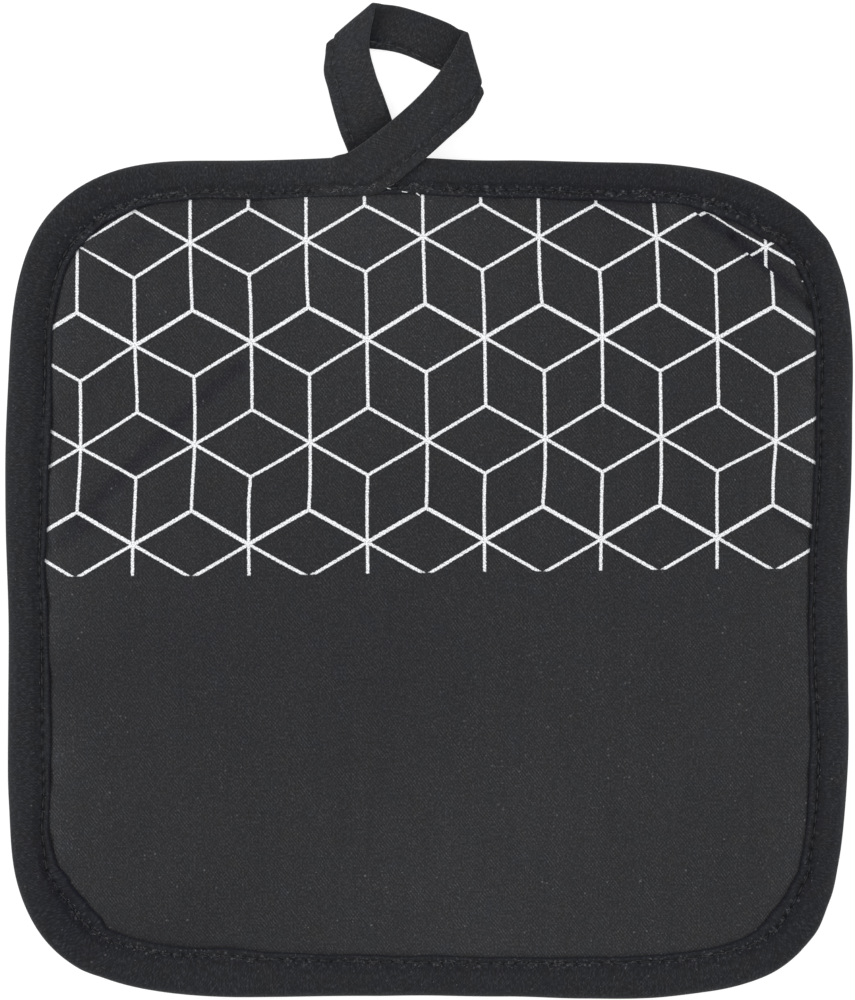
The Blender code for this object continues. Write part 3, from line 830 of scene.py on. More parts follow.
# %% Painted light and shade in patches on the face
PAINTED_LIGHT_PATCHES = (  # x, y, radius, share added to the cloth's brightness: painted light where the cloth turns to the lamps, painted shade below zero
    (-15.0, 62.0, 34.0, 0.20), (-33.0, 67.0, 7.0, 0.22), (14.0, -96.0, 42.0, 0.15),
    (-80.0, -50.0, 20.0, -0.07), (56.5, 68.0, 4.0, 0.30), (-8.0, -38.0, 40.0, -0.08),
    (82.0, 54.5, 3.0, 0.10), (88.0, 44.5, 4.5, 0.20), (60.0, 30.0, 26.0, -0.04),
    (-58.0, -30.0, 20.0, -0.06), (58.0, -20.0, 20.0, -0.06),
)
SCALLOPS = ((6, 11.0, 0.6), (7, 4.0, 0.5))     # seed, wavelength, amount
RIM_TONE_NEAR, RIM_TONE_WIDE = (0.6, 2.5), (0.5, 9.0)    # amount and reach, in from the hem, of the rim's wear and painted light


def face_wear_and_painted_light(x, y, from_hem, station):
    """Lighter beside the hem, most on the left and right, in scallops: wear and painted light on slopes
    that face the side lamps, and painted shade where the rim is below zero.
    """
    patchy = 1 + sum(amount * ripple(seed, x, y, length) for seed, length, amount in SCALLOPS)
    near, wide = (amount * np.exp(-np.maximum(from_hem, 0) / reach)
                  for amount, reach in (RIM_TONE_NEAR, RIM_TONE_WIDE))
    return patches(read(RIM, station) * (patchy * near + wide), PAINTED_LIGHT_PATCHES, x, y)


# these patches are painted light and painted shade
print(len(PAINTED_LIGHT_PATCHES), "worn or darker patches")

# %% A shaped grid
def shaped_grid(columns, rows, place, uv_name):
    """A grid whose points go where place(u, v) says, with u and v from 0 to 1. place gives
    each point's x, y and z, its wear with painted light and shade, and its two UV coordinates."""
    bm = bmesh.new()
    bmesh.ops.create_grid(bm, x_segments=columns, y_segments=rows, size=0.5)
    mesh = bpy.data.meshes.new("grid")
    bm.to_mesh(mesh)
    spot = np.empty(len(mesh.vertices) * 3)
    mesh.vertices.foreach_get("co", spot)
    u, v = spot.reshape(-1, 3)[:, :2].T + 0.5
    x, y, z, wear_and_painted_light, s, t = place(u, v)
    mesh.vertices.foreach_set("co", (np.stack([x, y, z], 1) * MM).ravel())
    # this layer holds wear together with painted light and shade, which the shader multiplies into the
    # colour
    mesh.attributes.new("Wear_and_painted_light", "FLOAT", "POINT").data.foreach_set("value", wear_and_painted_light)
    corner = np.empty(len(mesh.loops), np.int32)
    mesh.loops.foreach_get("vertex_index", corner)
    mesh.uv_layers.new(name=uv_name).data.foreach_set("uv", np.stack([s, t], 1)[corner].ravel())
    bm.clear()
    bm.from_mesh(mesh)
    bpy.data.meshes.remove(mesh)
    return bm


def join(bm, other):
    """Adds another bmesh, and uses it up."""
    mesh = bpy.data.meshes.new("part")
    other.to_mesh(mesh)
    other.free()
    bm.from_mesh(mesh)
    bpy.data.meshes.remove(mesh)

# %% The pad's rim and back
PAD_RIM = (  # share of the hem, in, height: from the back out and up to the face
    (1.00, 3.0, 0.30), (1.00, 0.8, 1.30), (0.42, 0.0, 1.50), (0.00, 2.4, 2.00),
    (0.00, 1.8, 3.20), (0.00, 2.5, 4.20), (0.42, 0.2, 4.85), (1.00, -3.3, 4.05),
    (1.00, -1.4, 3.90),
)
BACK_CELLS, BACK_INSET = 72, 3.0   # its border is PAD_RIM's first row
BACK_SWELL = 0.12              # height of its unevenness
BACK_RISE, BACK_TURN = 0.3, 0.1    # how far its border turns up, over this share of the way
SQUEEZE_FROM, SQUEEZE_OVER = 1.5, 1.65     # heights over which the rim takes up the tail


def back_place(u, v):
    """The back lies on the table, with the slight unevenness of a quilted cloth. Its layer of
    wear and painted light carries the stations until the rim has grown from them."""
    level, station = grid_stations(2 * u - 1, 2 * v - 1)
    border, _ = inset(station, widths(station)[0] + BACK_INSET)
    x, y = (PAD_CENTRE + level[:, None] * (border - PAD_CENTRE)).T
    rise = BACK_SWELL * (1 - level ** 6) * (1 + ripple(8, x, y, 26.0))
    rise += BACK_RISE * smooth((level - 1 + BACK_TURN) / BACK_TURN)
    return x, y, rise + lift(x, y, 0.0), station, x, y


def grow_ring(bm, border, station_of, share, extra, z):
    """Extrudes a ring of edges and sets the new ring at a row of a cross-section."""
    grown = bmesh.ops.extrude_edge_only(bm, edges=border)["geom"]
    verts = [g for g in grown if isinstance(g, bmesh.types.BMVert)]
    stations = np.array([vert[station_of] for vert in verts])
    place, _ = inset(stations, share * widths(stations)[0] + extra)
    for vert, (x, y) in zip(verts, place):
        squeezed = (z - SQUEEZE_FROM) / SQUEEZE_OVER
        vert.co = (x * MM, y * MM, (z + float(lift(x, y, squeezed))) * MM)
    return [g for g in grown if isinstance(g, bmesh.types.BMEdge) and g.is_boundary]


def finished(name, bm, finish):
    """Turns the faces outwards, says what was made and makes it an object."""
    bmesh.ops.recalc_face_normals(bm, faces=bm.faces)
    print(f"{name}: {len(bm.faces)} faces, open edges: {sum(e.is_boundary for e in bm.edges)}")
    return new_object(name, bm, finish)


def make_pad():
    bm = shaped_grid(BACK_CELLS, BACK_CELLS, back_place, "Print")
    carried = bm.verts.layers.float["Wear_and_painted_light"]
    ring = [edge for edge in bm.edges if edge.is_boundary]
    for share, extra, z in PAD_RIM:
        ring = grow_ring(bm, ring, carried, share, extra, z)
    for vert in bm.verts:
        vert[carried] = 0.0
    join(bm, shaped_grid(FACE_CELLS, FACE_CELLS, face_place, "Print"))
    bmesh.ops.bridge_loops(bm, edges=[edge for edge in bm.edges if edge.is_boundary])
    return finished("pad_cloth", bm, face_cloth)


pad = make_pad()
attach(pad, "root")
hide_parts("pad")

# %% [markdown]
# ## The binding
# Bias tape is wrapped round the raw edge: a soft roll outside, a stitched-down hem on both
# faces. A bevelled curve would give it one section all the way, but the hem is wider at the
# corners. So its section is drawn once, as a closed curve in shares of the hem's and the
# flap's width, and a grid is wrapped round the pad along it. The rows are tied to the
# stitches, five to each, so that every needle hole can nip the cloth in the same way.

# %% Cross-section of the tape
STITCH = 2.9                   # length of one stitch
ROWS_PER_STITCH = 5
TAPE_SECTION = (  # hem share, flap share, in, height
    (1, 0, -0.05, 5.00),       # hem's fold, top side
    (1, 0, 0.12, 5.28),
    (1, 0, -0.15, 5.62),
    (1, -0.5, 0.00, 5.52),
    (1, -1, 0.40, 5.22),
    (1, -1, 0.00, 5.05),       # stitching
    (1, -1, -0.45, 5.18),
    (1, -1, -1.20, 5.60),
    (0.62, 0, 0.00, 6.32),
    (0.45, 0, 0.00, 6.62),     # fullest part of the roll
    (0.27, 0, 0.00, 6.48),
    (0, 0, 1.35, 5.85),
    (0, 0, 0.38, 4.75),
    (0, 0, 0.00, 3.30),        # outermost
    (0, 0, 0.38, 1.80),
    (0, 0, 1.40, 0.55),
    (0, 0, 3.00, 0.06),
    (0.6, 0, 0.00, 0.04),
    (1, -1, -0.50, 0.12),
    (1, -1, 0.00, 0.42),       # stitching on the back
    (1, -1, 0.50, 0.12),
    (1, 0, 0.00, 0.05),
    (1, 0, 0.15, 0.45),
    (1, 0, -0.10, 0.85),
    (1, -1, 0.00, 1.25),       # inner skin
    (0, 0, 3.00, 1.15),
    (0, 0, 1.40, 2.10),
    (0, 0, 1.10, 3.30),
    (0, 0, 1.50, 4.40),
    (0.45, 0, 0.00, 5.35),
    (1, -1, -1.40, 4.75),
    (1, -1, 0.00, 4.05),
    (1, -0.5, 0.00, 4.55),
)
INNER_SKIN, SEAM_ROW = 24, 5   # rows: the first inside, against the pad, and the stitching
SECTION_STEPS = 2              # points to a row


def curve_between(a, b, c, d, steps):
    """Points of a smooth curve from b up to c, with a before them and d after them."""
    return [0.5 * (2 * b + (c - a) * t + (2 * a - 5 * b + 4 * c - d) * t ** 2
                   + (3 * b - a - 3 * c + d) * t ** 3) for t in np.arange(steps) / steps]


def closed_curve(rows, steps):
    """Points of a smooth closed curve through rows of numbers."""
    rows = np.array(rows, float)
    made = []
    for k in range(len(rows)):
        made += curve_between(*(rows[(k + i) % len(rows)] for i in (-1, 0, 1, 2)), steps)
    return np.array(made)


SECTION = closed_curve(TAPE_SECTION, SECTION_STEPS)
print(len(SECTION), "points round the tape's section")


# %% Stitch positions
def even_stations(inwards, spacing):
    """Stations at an even spacing along a line so far in from the edge, and its length."""
    fine = np.linspace(0, ALL_ROUND, 6001)
    line, _ = inset(fine, inwards(fine))
    run = run_along(line)
    count = round(run[-1] / spacing)
    return np.interp(np.arange(count) / count * run[-1], run, fine), run[-1]


def stitch_line(station):
    """How far in from the edge the stitching runs."""
    hem, flap = widths(station)
    return hem - flap


HOLES, seam_length = even_stations(stitch_line, STITCH)
NEXT_HOLES = np.append(HOLES[1:], ALL_ROUND)
rows_each = np.append(HOLES, ALL_ROUND)
ALONG = np.interp(np.arange(len(HOLES) * ROWS_PER_STITCH) / ROWS_PER_STITCH,
                  np.arange(len(rows_each)), rows_each)
print(f"{len(HOLES)} stitches in {seam_length:.0f} mm of seam, {len(ALONG)} rows of tape")

# %% Distance round the section
USUAL_HEM, USUAL_FLAP = 9.5, 1.8
usual = np.stack([SECTION[:, 0] * USUAL_HEM + SECTION[:, 1] * USUAL_FLAP + SECTION[:, 2],
                  SECTION[:, 3]], 1)
ACROSS_TAPE = run_along(np.vstack([usual, usual[:1]]))
ACROSS_TAPE -= ACROSS_TAPE[SEAM_ROW * SECTION_STEPS]       # zero at the stitching
print(f"tape {np.ptp(ACROSS_TAPE):.0f} mm round its section")

# %% How the tape has worn, and its painted shade and sheen
TAPE_PATCHES = (  # x, y, radius, share added to the tape's brightness
    (-22.0, 78.0, 28.0, 0.24), (38.0, 78.0, 24.0, -0.16), (-81.0, -93.0, 15.0, -0.30),
    (-80.0, 71.0, 12.0, -0.10), (86.0, -95.0, 15.0, -0.12), (84.0, 67.0, 20.0, -0.10),
)
EDGE_WEAR_AND_SHEEN, EDGE_PAINTED_SHADE = (1.8, 0.14), (0.45, -0.35)      # width and share, at the outer edge: wear with painted sheen, then painted shade where the roll turns down
VALLEY, VALLEY_PAINTED_SHADE = 0.8, (1.3, -0.12)                # out from the seam, and the width and share of the painted shade in the valley there
LIP, LIP_PAINTED_SHADE = 0.35, -0.45                            # painted shade under the hem's fold: its fade, and share


def tape_wear_and_painted_light(x, y, run, deep, hem, from_seam):
    """The outer edge is lighter in patches, partly wear and partly painted sheen; painted shade darkens
    the cloth where it turns away, beside the seam and under the hem's fold.
    """
    wear_and_painted_light = hump(deep, *EDGE_WEAR_AND_SHEEN) * (1 + 0.6 * ripple(14, run, 0.0, 16.0))
    wear_and_painted_light += hump(from_seam + VALLEY, *VALLEY_PAINTED_SHADE)
    wear_and_painted_light += LIP_PAINTED_SHADE * smooth((deep - hem + 0.4) / LIP)
    wear_and_painted_light += hump(deep, *EDGE_PAINTED_SHADE)
    return patches(wear_and_painted_light, TAPE_PATCHES, x, y)


# %% Shaping the tape
BOUND_Z = 6.6                  # height of the bound edge
NIP, NIP_ACROSS, NIP_ALONG = 0.50, 0.55, 0.6   # depth at a needle hole, and its half widths
SWELLING, SWELLING_OUT, SWELLING_ACROSS = 0.07, 1.3, 1.2   # between two holes
ROLL_STRAYS, FOLD_STRAYS = 0.14, 0.18  # the roll up and down, the hem's fold in and out
EDGE_STRAYS, EDGE_IN = 0.13, 0.09      # how much the outer edge strays, and its mean step in


def tape_surface(u, v):
    """Point of the tape; u runs round the pad along ALONG, and v round SECTION."""
    row, column = np.rint(u * len(ALONG)).astype(int), np.rint(v * len(SECTION)).astype(int)
    station = ALONG[row % len(ALONG)]
    hem_share, flap_share, extra, z = SECTION[column % len(SECTION)].T
    hem, flap = widths(station)
    deep = hem_share * hem + flap_share * flap + extra
    from_seam = deep - (hem - flap)
    outside = column % len(SECTION) < INNER_SKIN * SECTION_STEPS
    shown = outside * smooth((z - 3.0) / 1.5)          # the upper part of the outer skin
    # each needle hole nips the cloth, and the cloth swells a little between two holes
    from_hole = (row % ROWS_PER_STITCH) / ROWS_PER_STITCH
    from_hole = np.minimum(from_hole, 1 - from_hole) * STITCH
    z = z - shown * hump(from_seam, NIP_ACROSS, NIP) * hump(from_hole, NIP_ALONG)
    between = np.cos(from_hole * 2 * math.pi / STITCH)
    z -= shown * hump(from_seam + SWELLING_OUT, SWELLING_ACROSS, SWELLING) * between
    # slow unevenness of the roll, of the hem's fold and of the outer edge
    run = station / ALL_ROUND * once_round
    z += shown * ROLL_STRAYS * ripple(11, run, deep * 2.0, 22.0)
    push = shown * hump(deep - hem, 0.8, FOLD_STRAYS) * ripple(12, run, 0.0, 12.0)
    push += (EDGE_STRAYS * ripple(13, run, 0.0, 30.0) - EDGE_IN) * smooth((2.5 - deep) / 2.0)
    x, y = inset(station, deep + push)[0].T
    # wear with painted sheen and painted shade
    wear_and_painted_light = tape_wear_and_painted_light(x, y, run, deep, hem, from_seam)
    return x, y, z + lift(x, y, z / BOUND_Z), wear_and_painted_light, u * once_round, ACROSS_TAPE[column]


# %% Wrapping the tape
def wrap(name, bm, finish):
    """Closes a grid that was rolled into a tube, and its ends if it has any."""
    bmesh.ops.remove_doubles(bm, verts=bm.verts, dist=1e-7)
    bmesh.ops.holes_fill(bm, edges=[e for e in bm.edges if e.is_boundary], sides=0)
    return finished(name, bm, finish)


binding = wrap("binding_cloth", shaped_grid(len(ALONG), len(SECTION), tape_surface, "Tape"),
               binding_tape)
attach(binding, "root")
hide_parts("binding")

# %% [markdown]
# ## The hanging loop
# The tape's tail is edge-stitched flat, folded over twice and sewn down behind the edge. A
# bend modifier turns a strip about one axis, and these two folds lie at a slant. A strip
# runs between two edges, so it is drawn as rulings, from its plain edge A to its stitched
# edge B, with a half turn at each fold. The strip's middle surface is worked out first, then
# a flattened tube is wrapped round it, with the stitched groove near edge B.

# %% Rulings of the loop
FRONT = (  # ax, ay, az, bx, by, bz: out of the left binding and up to the right
    (-26.5, 79.0, 3.9, -26.5, 72.0, 4.3),
    (-22.3, 80.7, 4.6, -21.5, 71.7, 4.5),
    (-17.5, 82.8, 5.3, -12.6, 71.9, 4.9),
    (-8.6, 89.6, 5.7, -4.5, 77.1, 7.4),
    (-1.2, 96.6, 4.9, 4.6, 85.3, 5.6),
    (4.2, 103.6, 3.9, 9.8, 90.2, 4.1),
    (7.2, 109.2, 3.3, 11.7, 93.6, 3.3),
)
ACROSS = (  # back to the left underneath it, on the table
    (6.9, 111.4, 0.93, 10.8, 97.0, 0.93),
    (4.1, 113.0, 0.93, 6.0, 100.0, 0.93),
    (-2.0, 115.3, 0.93, 0.0, 102.7, 0.93),
    (-7.2, 116.8, 0.93, -8.5, 106.0, 0.93),
    (-11.0, 117.3, 0.93, -22.0, 107.4, 0.93),
)
DOWN = (  # down over it and in behind the pad's top edge
    (-12.9, 115.4, 3.3, -24.6, 105.4, 3.3),
    (-14.2, 107.5, 3.3, -25.0, 101.0, 3.3),
    (-12.8, 101.0, 2.3, -24.0, 97.0, 2.3),
    (-11.1, 96.4, 1.4, -22.9, 92.6, 1.4),
    (-8.8, 89.8, 0.95, -21.2, 87.0, 0.95),
    (-6.4, 82.0, 0.93, -18.9, 81.0, 0.93),
    (-4.2, 73.4, 0.93, -16.6, 72.4, 0.93),
)
LOOP_STEPS, FOLD_STEPS = 16, 12    # rulings from one row to the next, and round a fold


def open_curve(rows):
    """Points of a smooth curve through rows of numbers."""
    rows = np.array(rows, float)
    ends = np.vstack([2 * rows[0] - rows[1], rows, 2 * rows[-1] - rows[-2]])
    made = []
    for around in zip(ends, ends[1:], ends[2:], ends[3:]):
        made += curve_between(*around, LOOP_STEPS)
    return made + [rows[-1]]


def half_turn(before, after, side):
    """Rulings round a fold, from the ruling before it to the one after it."""
    half = (before - after) / 2
    crease = before[3:5] - before[:2]
    out = side * np.array([-crease[1], crease[0], 0.0]) / np.hypot(*crease) * abs(half[2])
    made = []
    for degrees in np.linspace(0, 180, FOLD_STEPS + 1)[1:-1]:
        turn = math.radians(degrees)
        ruling = before - half * degrees / 90
        # 2 and 5 are the heights of its two ends
        ruling[[2, 5]] = after[[2, 5]] + half[[2, 5]] * (1 + math.cos(turn))
        made.append(ruling + np.tile(out * math.sin(turn), 2))
    return made


front, across, down = (open_curve(rows) for rows in (FRONT, ACROSS, DOWN))
RULINGS = np.array([*front, *half_turn(front[-1], across[0], 1.0),
                    *across, *half_turn(across[-1], down[0], -1.0), *down])
loop_run = run_along((RULINGS[:, :3] + RULINGS[:, 3:]) / 2)
print(f"loop tape {loop_run[-1]:.0f} mm long, {len(RULINGS)} rulings")

# %% Laying the front strip over the roll
LOOP_THICK = 1.8
ROLL_TOP = (  # in from the outer edge, height of the binding and then of the face
    (0.0, 3.3), (0.38, 4.75), (1.35, 5.85), (2.3, 6.48), (3.8, 6.62), (5.2, 6.3), (6.0, 5.6),
    (6.6, 4.95), (7.4, 5.4), (8.4, 5.5), (9.5, 5.0),
)
NO_CLOTH = -50.0
SUNK, RISE, RISE_ROWS = 1.35, 1.75, 1.4    # its start is let into the roll, then it climbs out
SOFT_MEETING = 0.7             # rounds the bend where the strip comes to lie on the roll
SMOOTHINGS, SMOOTHED = 10, 0.35
SHARES = np.linspace(0, 1, 33)     # across the strip, from edge A to edge B
RULED = RULINGS[:, None, :3] + (RULINGS[:, None, 3:] - RULINGS[:, None, :3]) * SHARES[:, None]


def roll_top(x, y):
    """Height of the binding and face under a point near the top edge, with the cloth's lift."""
    nearest = np.array([np.argmin((OUTLINE[:, 0] - a) ** 2 + (OUTLINE[:, 1] - b) ** 2)
                        for a, b in zip(x, y)])
    deep = ((np.stack([x, y], 1) - OUTLINE[nearest]) * INWARD[nearest]).sum(1)
    z = np.interp(deep, *np.transpose(ROLL_TOP))
    return np.where(deep > 0, z + lift(x, y, z / BOUND_Z), NO_CLOTH)


front_rows = len(front)
x, y, z = RULED[:front_rows].reshape(-1, 3).T
under = roll_top(x, y)
row_of = np.repeat(np.arange(front_rows) / LOOP_STEPS, len(SHARES))
clear = under + LOOP_THICK / 2 - SUNK + RISE * smooth((row_of - RISE_ROWS) / RISE_ROWS)
lifted = 0.5 * (z + clear + np.hypot(z - clear, SOFT_MEETING))
RULED[:front_rows, :, 2] = np.where(under > NO_CLOTH, lifted, z).reshape(front_rows, -1)
# a little smoothing along and across takes out the step where the tape leaves the roll
heights = RULED[:front_rows, :, 2]
for _ in range(SMOOTHINGS):
    for rows in (heights, heights.T):
        rows[1:-1] += SMOOTHED * (rows[2:] + rows[:-2] - 2 * rows[1:-1])
print(f"front strip {heights.min():.1f} to {heights.max():.1f} mm up")

# %% Thickness of the loop
LOOP_SEAM = (  # share of the way along the loop, from the stitched edge to its stitching
    (0.0, 2.5), (0.30, 2.8), (0.38, 2.6), (0.46, 1.4), (0.56, 1.4), (0.62, 2.2), (0.70, 2.7),
    (0.80, 2.7), (1.0, 2.1),
)
ROUNDED, THINNEST = 0.8, 0.05      # reach of the round edges, and share left at their tips
UNEVEN = 0.08                  # share by which its thickness varies
FLANGE_THINNER, FLANGE_STEP = 0.28, 0.6    # it is flatter between the stitching and edge B
GROOVE_WIDTH, GROOVE_DEPTH = 0.5, 0.42     # the depth is a share of the thickness
HOLE_WIDTH, HOLE_DEPTH = 0.55, 0.25
END_SHARE, END_ROWS = 0.45, 20     # both ends are pressed thin by the sewing
RULED_NORMAL = np.cross(np.gradient(RULED, axis=0), np.gradient(RULED, axis=1))
RULED_NORMAL /= np.linalg.norm(RULED_NORMAL, axis=2, keepdims=True)
LOOP_WIDTH = np.linalg.norm(RULINGS[:, 3:5] - RULINGS[:, :2], axis=1)
ALONG_LOOP = loop_run / loop_run[-1]
GROOVE = np.interp(ALONG_LOOP, *np.transpose(LOOP_SEAM))


def loop_half_thickness(row, share):
    """Half the tape's thickness: full in the middle, round at the edges, nipped at the seam."""
    from_a, from_b = share * LOOP_WIDTH[row], (1 - share) * LOOP_WIDTH[row]
    from_edge = np.clip(np.minimum(from_a, from_b) / ROUNDED, 0, 1)
    rounded = np.maximum(np.sqrt(np.clip(1 - (1 - from_edge) ** 2, 0, 1)), THINNEST)
    body = LOOP_THICK / 2 * (1 + UNEVEN * ripple(21, loop_run[row], share * 12, 9.0))
    flange = 1 - FLANGE_THINNER * smooth((GROOVE[row] - from_b) / FLANGE_STEP + 0.5)
    phase = loop_run[row] / STITCH % 1.0
    hole = hump(np.minimum(phase, 1 - phase) * STITCH, HOLE_WIDTH, HOLE_DEPTH)
    groove = 1 - (GROOVE_DEPTH + hole) * hump(from_b - GROOVE[row], GROOVE_WIDTH)
    from_end = np.minimum(row, len(RULINGS) - 1 - row)
    ends = END_SHARE + (1 - END_SHARE) * smooth(from_end / END_ROWS)
    return body * rounded * flange * groove * ends


print(f"loop tape {LOOP_WIDTH.min():.1f} to {LOOP_WIDTH.max():.1f} mm wide")

# %% How the loop has worn, and its painted shade
LOOP_TONE = (  # share of the way along, share added to the tape's brightness; its dips beside the folds are painted shade
    (0.0, 0.12), (0.12, 0.20), (0.3, 0.22), (0.38, 0.12), (0.42, 0.0), (0.47, 0.09),
    (0.56, 0.10), (0.61, -0.10), (0.65, 0.30), (0.69, 0.46), (0.78, 0.40), (1.0, 0.25),
)
EDGES_PALE, CROSSING_PAINTED_SHADOW = (0.8, 0.12), (2.4, -0.42)      # width and share; the second is the front strip's painted shadow
# the second is the painted shade in the stitched groove
BESIDE_GROOVE, GROOVE_PAINTED_SHADE = 0.5, (0.45, -0.28)
CROSSING = ((-20.0, 81.6), (-8.6, 89.6))   # where the front strip's edge casts its painted shadow on the last one
LAST_STRIP = 0.65              # share of the rulings after which it lies


def loop_wear_and_painted_shade(x, y, row, from_a, from_b):
    """Pale at its edges, with painted shade at the stitching and the front strip's painted shadow where
    it crosses.
    """
    wear_and_painted_light = np.interp(ALONG_LOOP[row], *np.transpose(LOOP_TONE))
    wear_and_painted_light += hump(np.minimum(from_a, from_b), *EDGES_PALE)
    wear_and_painted_light += hump(from_b - GROOVE[row] - BESIDE_GROOVE, *GROOVE_PAINTED_SHADE)
    (x0, y0), (x1, y1) = CROSSING
    beyond = ((x1 - x0) * (y - y0) - (y1 - y0) * (x - x0)) / math.hypot(x1 - x0, y1 - y0)
    return wear_and_painted_light + (row > len(RULINGS) * LAST_STRIP) * hump(np.maximum(beyond, 0), *CROSSING_PAINTED_SHADOW)


# %% Wrapping the loop
def loop_surface(u, v):
    """Point of the closed tube: the first half of the columns is the front, A to B."""
    half = len(SHARES) - 1
    row = np.rint(u * (len(RULINGS) - 1)).astype(int)
    column = np.rint(v * 2 * half).astype(int) % (2 * half)
    front_side = column <= half
    k = np.where(front_side, column, 2 * half - column)
    share = SHARES[k]
    out = np.where(front_side, 1.0, -1.0) * loop_half_thickness(row, share)
    x, y, z = (RULED[row, k] - RULED_NORMAL[row, k] * out[:, None]).T
    from_a, from_b = share * LOOP_WIDTH[row], (1 - share) * LOOP_WIDTH[row]
    wear_and_painted_light = loop_wear_and_painted_shade(x, y, row, from_a, from_b)
    return x, y, z, wear_and_painted_light, loop_run[row], from_b - GROOVE[row]


loop = wrap("loop_cloth",
            shaped_grid(len(RULINGS) - 1, 2 * (len(SHARES) - 1), loop_surface, "Tape"), loop_tape)
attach(loop, "root")
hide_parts("hanging_loop")

# %% [markdown]
# ## Thread
# A machine stitch shows as a short bead between two needle holes. A cord along the whole
# seam would dive at every hole, and would need far more faces. Hundreds of beads are needed,
# so each is one small ball of few faces, stretched along the seam until its ends dive into
# the cloth.

# %% Stitches of the binding
SLACK = 0.06                   # how far a stitch may lie off its place
THREAD_ROWS = ((5.10, 1.0), (0.24, -1.0))  # height, and which way is out: top, then back


def add_stitch(bm, middle, ahead, up, length, thick):
    """A ball with its long axis ahead, in millimetres."""
    side = up.cross(ahead).normalized()
    up = ahead.cross(side).normalized()
    axes = (ahead.normalized() * length / 2, side * thick / 2, up * thick / 2)
    place = Matrix(axes).transposed().to_4x4()
    place.translation = middle * MM
    bmesh.ops.create_uvsphere(bm, u_segments=6, v_segments=6, radius=MM, matrix=place)


def stitches_on_binding():
    bm = bmesh.new()
    rng = np.random.default_rng(31)
    starts, ends = (inset(holes, stitch_line(holes))[0] for holes in (HOLES, NEXT_HOLES))
    for level, up in THREAD_ROWS:
        for start, end in zip(starts, ends):
            x, y = (start + end) / 2
            z = level + float(lift(x, y, level / BOUND_Z))
            slack = rng.uniform(-SLACK, SLACK, 3)
            middle, ahead = (x + slack[1], y + slack[2], z), (*(end - start), slack[0])
            add_stitch(bm, Vector(middle), Vector(ahead), Vector((0, 0, up)),
                       length=STITCH * 0.9, thick=0.40)
    return finished("binding_stitches", bm, thread)


binding_seam = stitches_on_binding()
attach(binding_seam, "root")

# %% Stitches of the loop
HIDDEN_FIRST, HIDDEN_LAST = 6, 3   # stitches under the binding and under the top edge
THREAD_OUT = 0.52              # from the loop's middle surface


def seam_of_loop(surface):
    """A surface's value on each ruling, where the stitches run."""
    shares = 1 - (GROOVE - 0.15) / LOOP_WIDTH
    return np.array([[np.interp(share, SHARES, ruling[:, axis]) for axis in range(3)]
                     for share, ruling in zip(shares, surface)])


def at_run(table, run):
    """A table's value at a distance along the loop."""
    return np.array([np.interp(run, loop_run, table[:, axis]) for axis in range(3)])


def stitches_on_loop():
    bm = bmesh.new()
    line, normal = seam_of_loop(RULED), seam_of_loop(RULED_NORMAL)
    for k in range(HIDDEN_FIRST, int(loop_run[-1] / STITCH) - HIDDEN_LAST):
        start, end = at_run(line, k * STITCH), at_run(line, (k + 1) * STITCH)
        for side in (-1.0, 1.0):
            out = at_run(normal, (k + 0.5) * STITCH) * side
            middle, ahead = Vector((start + end) / 2 + out * THREAD_OUT), Vector(end - start)
            add_stitch(bm, middle, ahead, Vector(out), length=ahead.length * 0.86, thick=0.30)
    return finished("loop_stitches", bm, loop_thread)


loop_seam = stitches_on_loop()
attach(loop_seam, "root")

# %% [markdown]
# ## Lint and loose ends
# Black cloth shows every fibre that settles on it, most of all along the seam, where the
# needle has pulled some out. Hair would give them, but a fibre is only two thin tapered rods
# that meet at a bend. Where it lies is drawn from a seeded generator, and a ray sent down
# from above finds the cloth's height there, so that no fibre floats. The few white ends, by
# the loop and at the right hem, are listed one by one.

# %% Finding the cloth's height
RAY_FROM = 0.05                # metres up
bpy.context.view_layer.update()


def top_of_cloth(x, y):
    """Height of the highest cloth at a place, in millimetres, or None beside the holder."""
    found = [cloth.ray_cast((x * MM, y * MM, RAY_FROM), (0, 0, -1)) for cloth in (pad, binding, loop)]
    return max((spot.z / MM for hit, spot, _, _ in found if hit), default=None)


print(f"cloth in the middle of the pad {top_of_cloth(*PAD_CENTRE):.1f} mm up")


# %% Fibres
LIES_AT = 0.4                  # height of a fibre's middle, as a share of its thickness


def rod(bm, start, end, thick):
    """A thin closed rod between two points, in millimetres."""
    run = Vector(end) - Vector(start)
    turned = run.to_track_quat("Z", "X").to_matrix().to_4x4()
    bmesh.ops.create_cone(bm, cap_ends=True, segments=4, radius1=thick / 2 * MM,
                          radius2=thick / 3 * MM, depth=run.length * MM,
                          matrix=Matrix.Translation((Vector(start) + run / 2) * MM) @ turned)


def fibre(bm, rng, x, y, turn, length, thick):
    """Two rods that meet at a bend, laid on the cloth."""
    bend = turn + rng.uniform(-1.0, 1.0)
    middle = (x + math.cos(turn) * length / 2, y + math.sin(turn) * length / 2)
    end = (middle[0] + math.cos(bend) * length / 2, middle[1] + math.sin(bend) * length / 2)
    spots = ((x, y), middle, end)
    heights = [top_of_cloth(*spot) for spot in spots]
    if None in heights:
        return
    points = [(*spot, z + thick * LIES_AT) for spot, z in zip(spots, heights)]
    rod(bm, points[0], points[1], thick)
    rod(bm, points[2], points[1], thick)


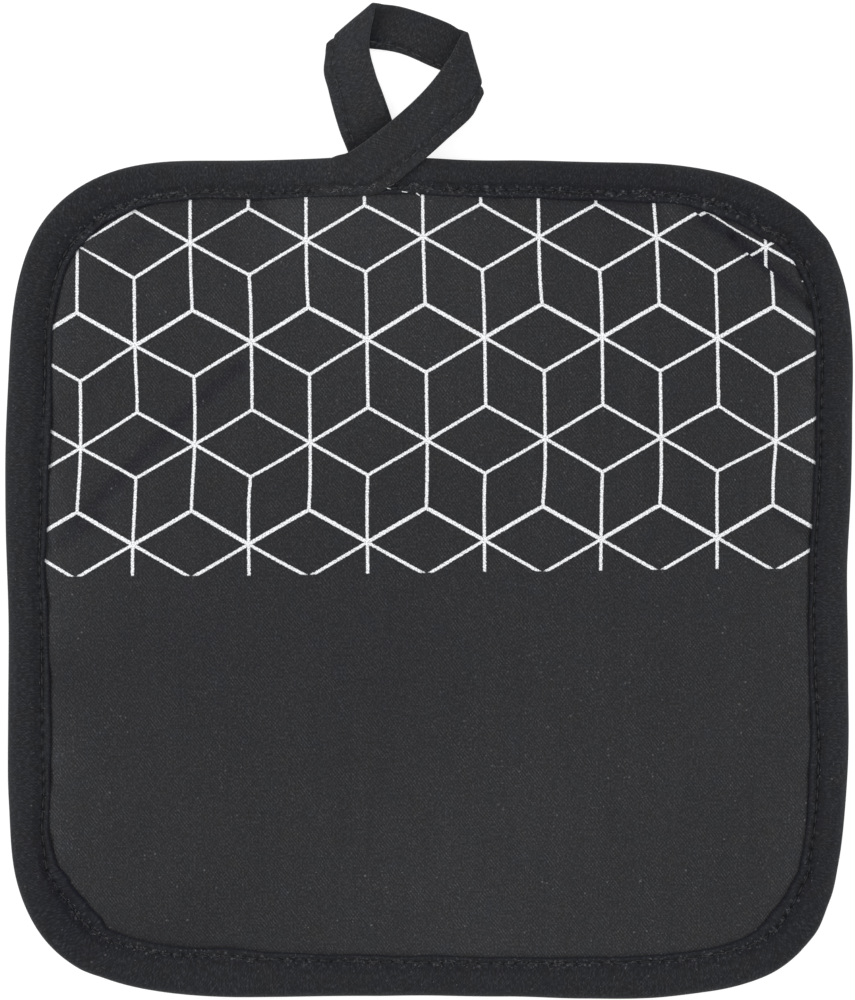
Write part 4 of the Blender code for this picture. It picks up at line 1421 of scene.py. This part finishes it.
# %% Lint along the seam and on the cloth
SEAM_LINT, STRAY_LINT = 1000, 260
SEAM_FIBRE = ((0.25, 0.8), (0.07, 0.15))   # range of its length, range of its thickness
STRAY_FIBRE = ((0.15, 0.5), (0.08, 0.15))
OFF_SEAM, OFF_COURSE = (0.1, 0.6), (0.0, 0.55) # mean and spread: place and direction
LOOP_X, LOOP_REACH, TOP_FROM = -10.0, 16.0, 60.0       # where the loop gathers fluff
ON_TAPE, ON_FACE = (1.5, 8.0), (10.0, 9.0)     # range; start and mean reach, in from the edge


def lint_on_seam(bm, rng):
    """Most of it lies along the top and the bottom, where the tape rubs on hooks and hands."""
    length, thickness = SEAM_FIBRE
    placed = 0
    while placed < SEAM_LINT:
        station = rng.uniform(0, ALL_ROUND)
        spot, inwards = inset(station, float(stitch_line(station)) + rng.normal(*OFF_SEAM))
        crosswise = abs(inwards[1])
        by_loop = hump(spot[0] - LOOP_X, LOOP_REACH) if spot[1] > TOP_FROM else 0.0
        # a fifth of the chance along the sides, and half of it away from the loop
        if rng.uniform() > (0.2 + 0.8 * crosswise ** 2) * (0.5 + 0.5 * by_loop):
            continue
        along = math.atan2(inwards[1], inwards[0]) + math.pi / 2 + rng.normal(*OFF_COURSE)
        fibre(bm, rng, *spot, along, rng.uniform(*length), rng.uniform(*thickness))
        placed += 1


def stray_lint(bm, rng):
    """The rest is scattered, and gathers just inside the hem."""
    length, thickness = STRAY_FIBRE
    for _ in range(STRAY_LINT):
        station = rng.uniform(0, ALL_ROUND)
        places = (rng.uniform(*ON_TAPE), ON_FACE[0] + rng.exponential(ON_FACE[1]))
        spot, _ = inset(station, rng.choice(places))
        turn = rng.uniform(0, 2 * math.pi)
        fibre(bm, rng, *spot, turn, rng.uniform(*length), rng.uniform(*thickness))


bm = bmesh.new()
rng = np.random.default_rng(77)
lint_on_seam(bm, rng)
stray_lint(bm, rng)
seam_lint = finished("seam_lint", bm, fluff)
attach(seam_lint, "root")

# %% White ends by the loop and at the right hem
WHITE_ENDS = (  # x and y of one end and of the other, thickness
    (-9.9, 73.2, -9.1, 73.05, 0.26), (-6.5, 72.5, -5.2, 72.25, 0.28),
    (-3.1, 72.1, -2.3, 71.5, 0.34), (87.85, 51.5, 88.2, 51.4, 0.42),
)
ENDS_LIE_AT = 0.3

bm = bmesh.new()
for x0, y0, x1, y1, thick in WHITE_ENDS:
    start, end = ((x, y, top_of_cloth(x, y) + thick * ENDS_LIE_AT) for x, y in ((x0, y0), (x1, y1)))
    rod(bm, start, end, thick)
white_ends = finished("white_thread_ends", bm, white_thread)
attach(white_ends, "root")
